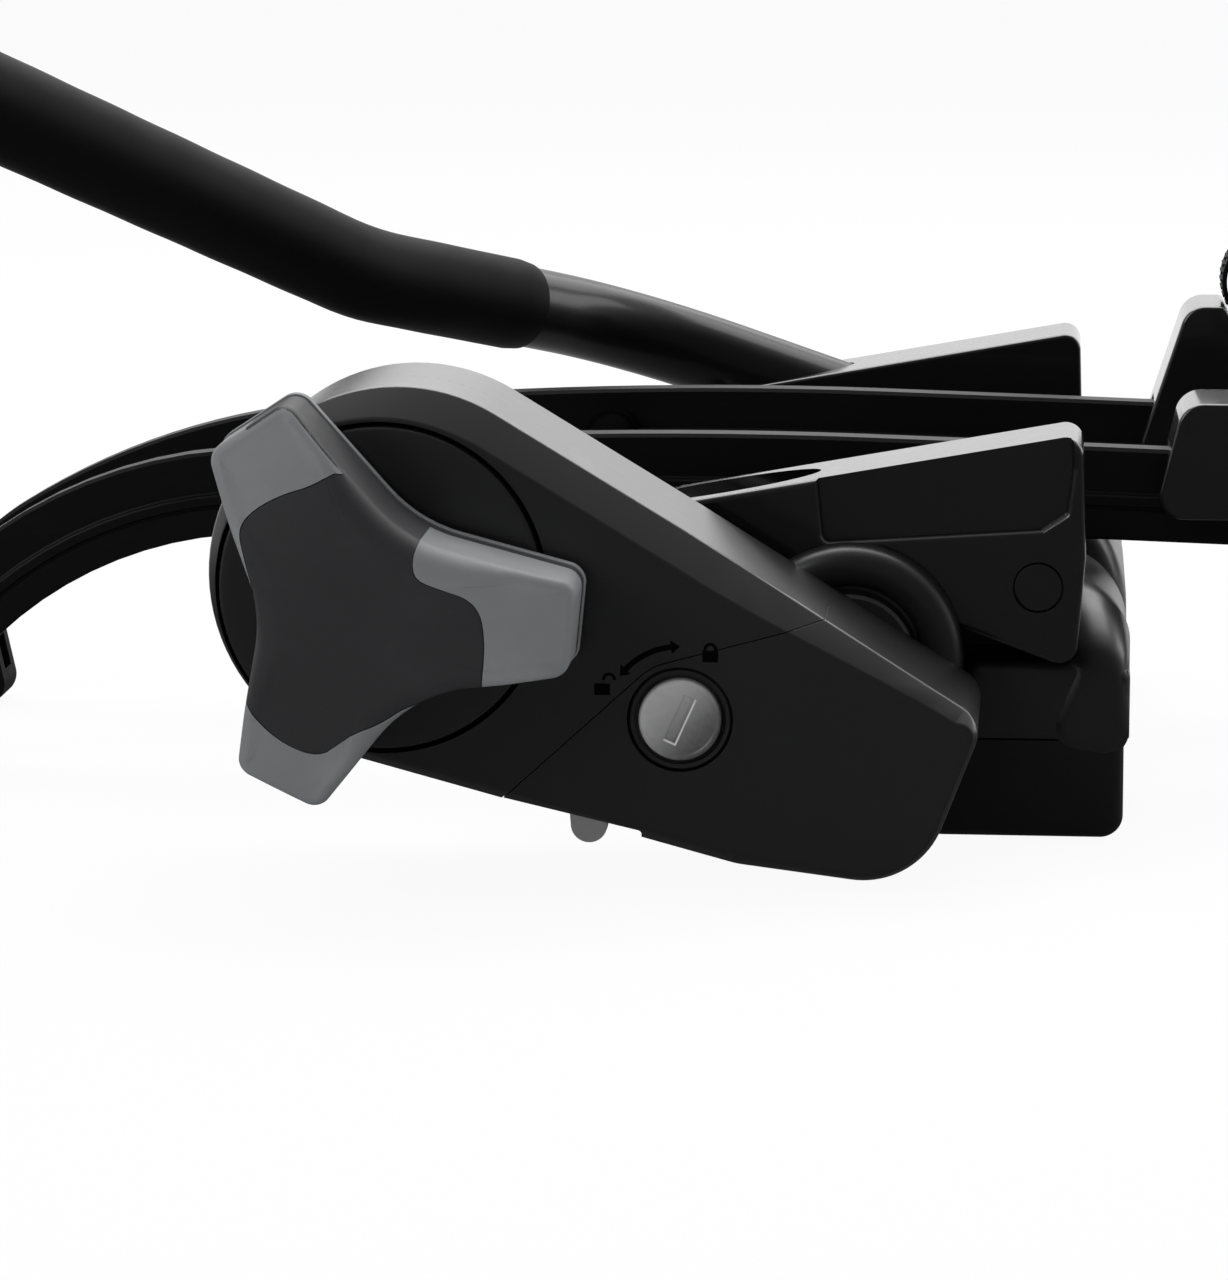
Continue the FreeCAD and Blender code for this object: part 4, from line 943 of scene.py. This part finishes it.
def makeArm(side, node):
    flat, right = arm["flat"], arm["section"]
    section = [(flat, 0.5)] + right + [(-y, v) for y, v in right[::-1]] + [(-flat, 0.5)]
    begin, end = arm["thinRun"]
    rows = []
    for x, z, turn in armStations(node):
        tall = arm["tall"] + (arm["thin"] - arm["tall"]) * smooth(-x, -begin, -end)
        rows.append([spot(x - math.sin(turn) * v * tall, side * arm["y"] + y,
                          z + math.cos(turn) * v * tall) for y, v in section])
    finishPiece(lofted(node + "_bar", rows), "arm_black", "arms", [node], sharp=28)


makeArm(-1, "near_arm")
makeArm(1, "far_arm")
for node in ("near_bracket", "far_bracket"):
    stand(node, "_plate", 0.6)
for node in ("near_arm_foot", "far_arm_foot"):
    stand(node, "_boot", 1.6, 3)
stand("arm_end_caps", "_plugs", 1.0, 3)


def tieRod(node):
    at = middle(node)
    low, high = (corner[1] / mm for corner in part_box(node))
    r = 7.0     # of the end collars
    bm = bmesh.new()
    lathe(bm, (at.x, at.z), [(0.01, low), (r, low), (r, low + 3), (r - 0.5, low + 3.8),
                             (r - 1.2, low + 4.2), (r - 1.2, high - 4.2), (r - 0.5, high - 3.8),
                             (r, high - 3), (r, high), (0.01, high)], 48)
    # darker black without reflection: painted shade, so the rod reads as the dark gap between the
    # arms
    finishPiece(newPiece(node + "_rod", bm), slotOf[node], "arms", [node],
                rubbery("tieRodShadeBlack", (0.0025, 0.0025, 0.0028), 0.9, 0.3, 0.0))


tieRod("left_tie")
tieRod("right_tie")
print("arms done")


# support tube and its rubber sleeve along one bent path

tube = {
    "points": [(12.0, 104.0, 69.1), (-70.4, 104.0, 97.3), (-136.0, 30.0, 119.6),
               (-236.0, -104.0, 186.6)],
    "bends": [72.0, 110.0], "step": 4.0, "tubeR": 11.0, "bore": 9.0,
    "sleeveFrom": -97.5, "sleeveR": 12.4, "sleeveGrow": 0.5, "growFrom": 20.0,
    # wave of the sleeve: height, length, and its fades as distances from the sleeve's two ends
    "ridge": 0.05, "ridgeLong": 26.0, "ridgeIn": (12.0, 40.0), "ridgeOut": (30.0, 5.0),
}


def tubePath():
    points = [Vector(p) for p in tube["points"]]
    path = [points[0]]
    for before, here, after, radius in zip(points, points[1:], points[2:], tube["bends"]):
        back, ahead = (before - here).normalized(), (after - here).normalized()
        half = back.angle(ahead) / 2
        centre = here + (back + ahead).normalized() * (radius / math.sin(half))
        first = here + back * radius / math.tan(half)
        sweep = math.pi - 2 * half
        axis = (first - centre).cross(here - centre).normalized()
        count = math.ceil(radius * sweep / tube["step"])
        for k in range(count + 1):
            turn = Matrix.Rotation(sweep * k / count, 3, axis)
            path.append(centre + turn @ (first - centre))
    path.append(points[-1])
    fine = [path[0]]
    for one, other in zip(path, path[1:]):
        count = max(1, round((other - one).length / tube["step"]))
        fine += [one.lerp(other, k / count) for k in range(1, count + 1)]
    return fine


def sweptRows(path, radii, steps=64):
    aim = (path[1] - path[0]).normalized()
    side = aim.cross(Vector((0, 0, 1))).normalized()
    rows = []
    for i, point in enumerate(path):
        ahead = (path[min(i + 1, len(path) - 1)] - path[max(i - 1, 0)]).normalized()
        side = (side - ahead * side.dot(ahead)).normalized()
        up = side.cross(ahead)
        for radius in radii(i):
            rows.append([(point + (side * math.cos(t) + up * math.sin(t)) * radius) * mm
                         for t in (2 * math.pi * k / steps for k in range(steps))])
    return rows


def makeTube():
    path = tubePath()
    long = [0.0]
    for one, other in zip(path, path[1:]):
        long.append(long[-1] + (other - one).length)
    last, wall, bore = len(path) - 1, tube["tubeR"], tube["bore"]

    def tubeRadii(i):       # both open ends turn in to the bore
        return {0: (bore, wall), last: (wall, bore)}.get(i, (wall,))

    bar = lofted("support_tube_bar", sweptRows(path, tubeRadii))
    finishPiece(bar, "tube_black", "hub", ["support_tube"])
    start = next(i for i, p in enumerate(path) if p.x < tube["sleeveFrom"])
    total = long[-1] - long[start]

    def sleeveRadii(i):
        d = long[start + i] - long[start]
        full = tube["sleeveR"] + tube["sleeveGrow"] * smooth(d, tube["growFrom"], total)
        if i == 0:
            return (wall - 0.1, full - 0.5)
        wave = tube["ridge"] * math.sin(2 * math.pi * d / tube["ridgeLong"])
        before, after = tube["ridgeOut"]
        fade = smooth(d, *tube["ridgeIn"]) * (1 - smooth(d, total - before, total - after))
        return (full + wave * fade,)

    grip = lofted("tube_sleeve_grip", sweptRows(path[start:], sleeveRadii))
    finishPiece(grip, "rubber_black", "hub", ["tube_sleeve"])


makeTube()
stand("tube_cap", "_end", 1.2, 3)
print("tube done")


# cradles, straps and what repeats

def repeated(name, unit, places, size, material):
    mesh = bpy.data.meshes.new(name)
    mesh.from_pydata([tuple(p) for p in places], [], [])
    host = bpy.data.objects.new(name, mesh)
    bpy.context.scene.collection.objects.link(host)
    tree = bpy.data.node_groups.new(name + "Tree", "GeometryNodeTree")
    sockets = tree.interface
    sockets.new_socket("Places", in_out="INPUT", socket_type="NodeSocketGeometry")
    sockets.new_socket("Unit", in_out="INPUT", socket_type="NodeSocketObject")
    sizeIn = sockets.new_socket("Size", in_out="INPUT", socket_type="NodeSocketFloat")
    unitIn = [item for item in sockets.items_tree if item.name == "Unit"][0]
    sockets.new_socket("Pieces", in_out="OUTPUT", socket_type="NodeSocketGeometry")
    nodes, links = tree.nodes, tree.links
    start, end = nodes.new("NodeGroupInput"), nodes.new("NodeGroupOutput")
    info = nodes.new("GeometryNodeObjectInfo")
    copies = nodes.new("GeometryNodeInstanceOnPoints")
    real = nodes.new("GeometryNodeRealizeInstances")
    paint = nodes.new("GeometryNodeSetMaterial")
    paint.inputs["Material"].default_value = material
    links.new(start.outputs["Places"], copies.inputs["Points"])
    links.new(start.outputs["Unit"], info.inputs["Object"])
    links.new(info.outputs["Geometry"], copies.inputs["Instance"])
    links.new(start.outputs["Size"], copies.inputs["Scale"])
    links.new(copies.outputs["Instances"], real.inputs["Geometry"])
    links.new(real.outputs["Geometry"], paint.inputs["Geometry"])
    links.new(paint.outputs["Geometry"], end.inputs["Pieces"])
    step = host.modifiers.new("repeat", "NODES")
    step.node_group = tree
    step[unitIn.identifier] = unit
    step[sizeIn.identifier] = size
    bake(host)
    bpy.data.objects.remove(unit)
    return host


screws = {
    "places": [(-70.0, 88.0), (-95.0, 109.0), (-80.0, 27.5), (12.0, 17.0)],
    "headR": 3.9, "headT": 2.3, "long": 20.5, "shaftR": 1.8, "driveR": 1.5, "driveDeep": 1.3,
}


def screwUnit():
    headR, headT, shaftR = screws["headR"], screws["headT"], screws["shaftR"]
    bm = bmesh.new()
    lathe(bm, (0, 0), [(0.01, 0), (headR - 0.4, 0), (headR, -0.4), (headR, -headT),
                       (shaftR, -headT - 0.2), (shaftR, -screws["long"]),
                       (0.01, -screws["long"])], 32)
    unit = newPiece("unit", bm)
    drive = []
    for k in range(6):
        turn = math.pi * k / 3
        drive.append((screws["driveR"] * math.cos(turn), screws["driveR"] * math.sin(turn)))
    bm = bmesh.new()
    prism(bm, drive, -screws["driveDeep"], 1.0)
    return carve(unit, newPiece("drive", bm))


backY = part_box("shell_screws")[1][1]
places = [Vector((x * mm, backY, z * mm)) for x, z in screws["places"]]
shellScrews = repeated("shell_screw_set", screwUnit(), places, 1.0, finishes["zinc"])
finishPiece(shellScrews, "zinc", "reel_case", ["shell_screws"])

strap = {"inner": 11.9, "band": 13.2, "half": 9.0, "teeth": 40, "toothHigh": 0.7, "toothHalf": 5.5}


def makeStrap(node):
    at = middle(node)
    y, r0, r1, half = at.y, strap["inner"], strap["band"], strap["half"]
    tip, bite = r1 + strap["toothHigh"] / 2, strap["toothHalf"]
    bm = bmesh.new()
    lathe(bm, (at.x, at.z), [(r0, y - half), (r1 - 0.4, y - half), (r1, y - half + 0.4),
                             (r1, y - bite - 0.6), (r1 - 0.5, y - bite), (r1 - 0.5, y + bite),
                             (r1, y + bite + 0.6), (r1, y + half - 0.4), (r1 - 0.4, y + half),
                             (r0, y + half), (r0, y - half)], 96)
    dropCaps(bm)
    for k in range(strap["teeth"]):
        turn = 2 * math.pi * k / strap["teeth"]
        corners = []
        for radius, lean in ((r1 - 0.8, 0.05), (r1 - 0.8, -0.05), (tip, -0.012), (tip, 0.03)):
            corners.append((at.x + radius * math.cos(turn + lean),
                            at.z + radius * math.sin(turn + lean)))
        prism(bm, corners, y - bite, y + bite)
    finishPiece(newPiece(node + "_band", bm), "rubber_black", bodyOf[node], [node])


for pair in (1, 2):
    for side in ("near", "far"):
        stand("%s_cradle_%d" % (side, pair), "_saddle", 1.8, 3, 30)
        makeStrap("%s_strap_%d" % (side, pair))
print("cradles done")


# studio: white for the camera and for reflections from behind, plain soft lamps

studio = {
    "floorSize": 12.0,
    "worldLight": 0.3,
    "behind": (-0.6, 0.3),      # how far back a reflection points where the white fades in
    "floorShine": (-0.1, 0.6),      # where on the floor its reflection turns white
    "frontShine": 0.1,      # what a reflection towards the front still shows
    "floorGlow": 0.94,
    "lamps": {
        # place, aim, size x, size y, watts (metres)
        "overhead": ((-0.1, 0.5, 1.6), (0.0, 0.0, 0.05), 1.8, 1.0, 24.0),
        "leftFill": ((-1.5, -1.4, 1.1), (-0.08, -0.1, 0.05), 0.8, 1.2, 14.0),
        "backHigh": ((0.35, 1.5, 1.2), (-0.05, 0.0, 0.08), 2.2, 0.7, 11.0),
        "rightRim": ((1.6, 0.5, 0.8), (0.1, 0.0, 0.05), 0.6, 1.2, 9.0),
    },
}


rayKinds = ("Is Camera Ray", "Is Glossy Ray", "Is Transmission Ray")


def addFloor():
    size = studio["floorSize"] / 2
    mesh = bpy.data.meshes.new("floor")
    mesh.from_pydata([(-size, -size, 0), (size, -size, 0), (size, size, 0), (-size, size, 0)], [],
                     [(0, 1, 2, 3)])
    floor = bpy.data.objects.new("floor", mesh)
    bpy.context.scene.collection.objects.link(floor)
    f = Finish("floorWhite")
    f.shader.inputs["Base Color"].default_value = (0.8, 0.8, 0.8, 1)
    f.shader.inputs["Roughness"].default_value = 0.9
    seen, glossy, through = f.add("ShaderNodeLightPath", output=rayKinds)
    near, far = studio["floorShine"]
    shine = f.fade(f.split(f.place())[1], near, far, studio["frontShine"], 1.0)
    white = f.blend(seen + through + glossy * shine, (0, 0, 0), (1, 1, 1))
    glow = f.add("ShaderNodeEmission", {}, {"Color": white})
    share = (seen + through) * studio["floorGlow"] + glossy
    mix = f.add("ShaderNodeMixShader", {}, {0: share, 1: Wire(f, f.shader.outputs[0]), 2: glow})
    f.tree.links.new(mix.socket, f.tree.nodes["Material Output"].inputs["Surface"])
    mesh.materials.append(f.material)


def addWorld():
    world = bpy.data.worlds.new("studio")
    bpy.context.scene.world = world
    f = Finish("studio", world)
    seen, glossy, through = f.add("ShaderNodeLightPath", output=rayKinds)
    low, high = studio["behind"]
    ahead = f.split(f.add("ShaderNodeTexCoord", output="Generated"))[1]
    white = seen + through + glossy * f.fade(ahead, low, high, studio["frontShine"], 1.0)
    plain = (1 - seen - through - glossy) * studio["worldLight"]
    f.feed(f.shader.inputs["Color"], f.blend(white + plain, (0, 0, 0), (1, 1, 1)))
    f.shader.inputs["Strength"].default_value = 1.0


def addLamps():
    for name, (place, aim, sizeX, sizeY, power) in studio["lamps"].items():
        light = bpy.data.lights.new(name, "AREA")
        light.shape = "RECTANGLE"
        light.size, light.size_y = sizeX, sizeY
        light.energy = power
        lamp = bpy.data.objects.new(name, light)
        lamp.location = place
        lamp.rotation_euler = (Vector(aim) - Vector(place)).to_track_quat("-Z", "Y").to_euler()
        bpy.context.scene.collection.objects.link(lamp)


addFloor()
addWorld()
addLamps()
print("studio ready")
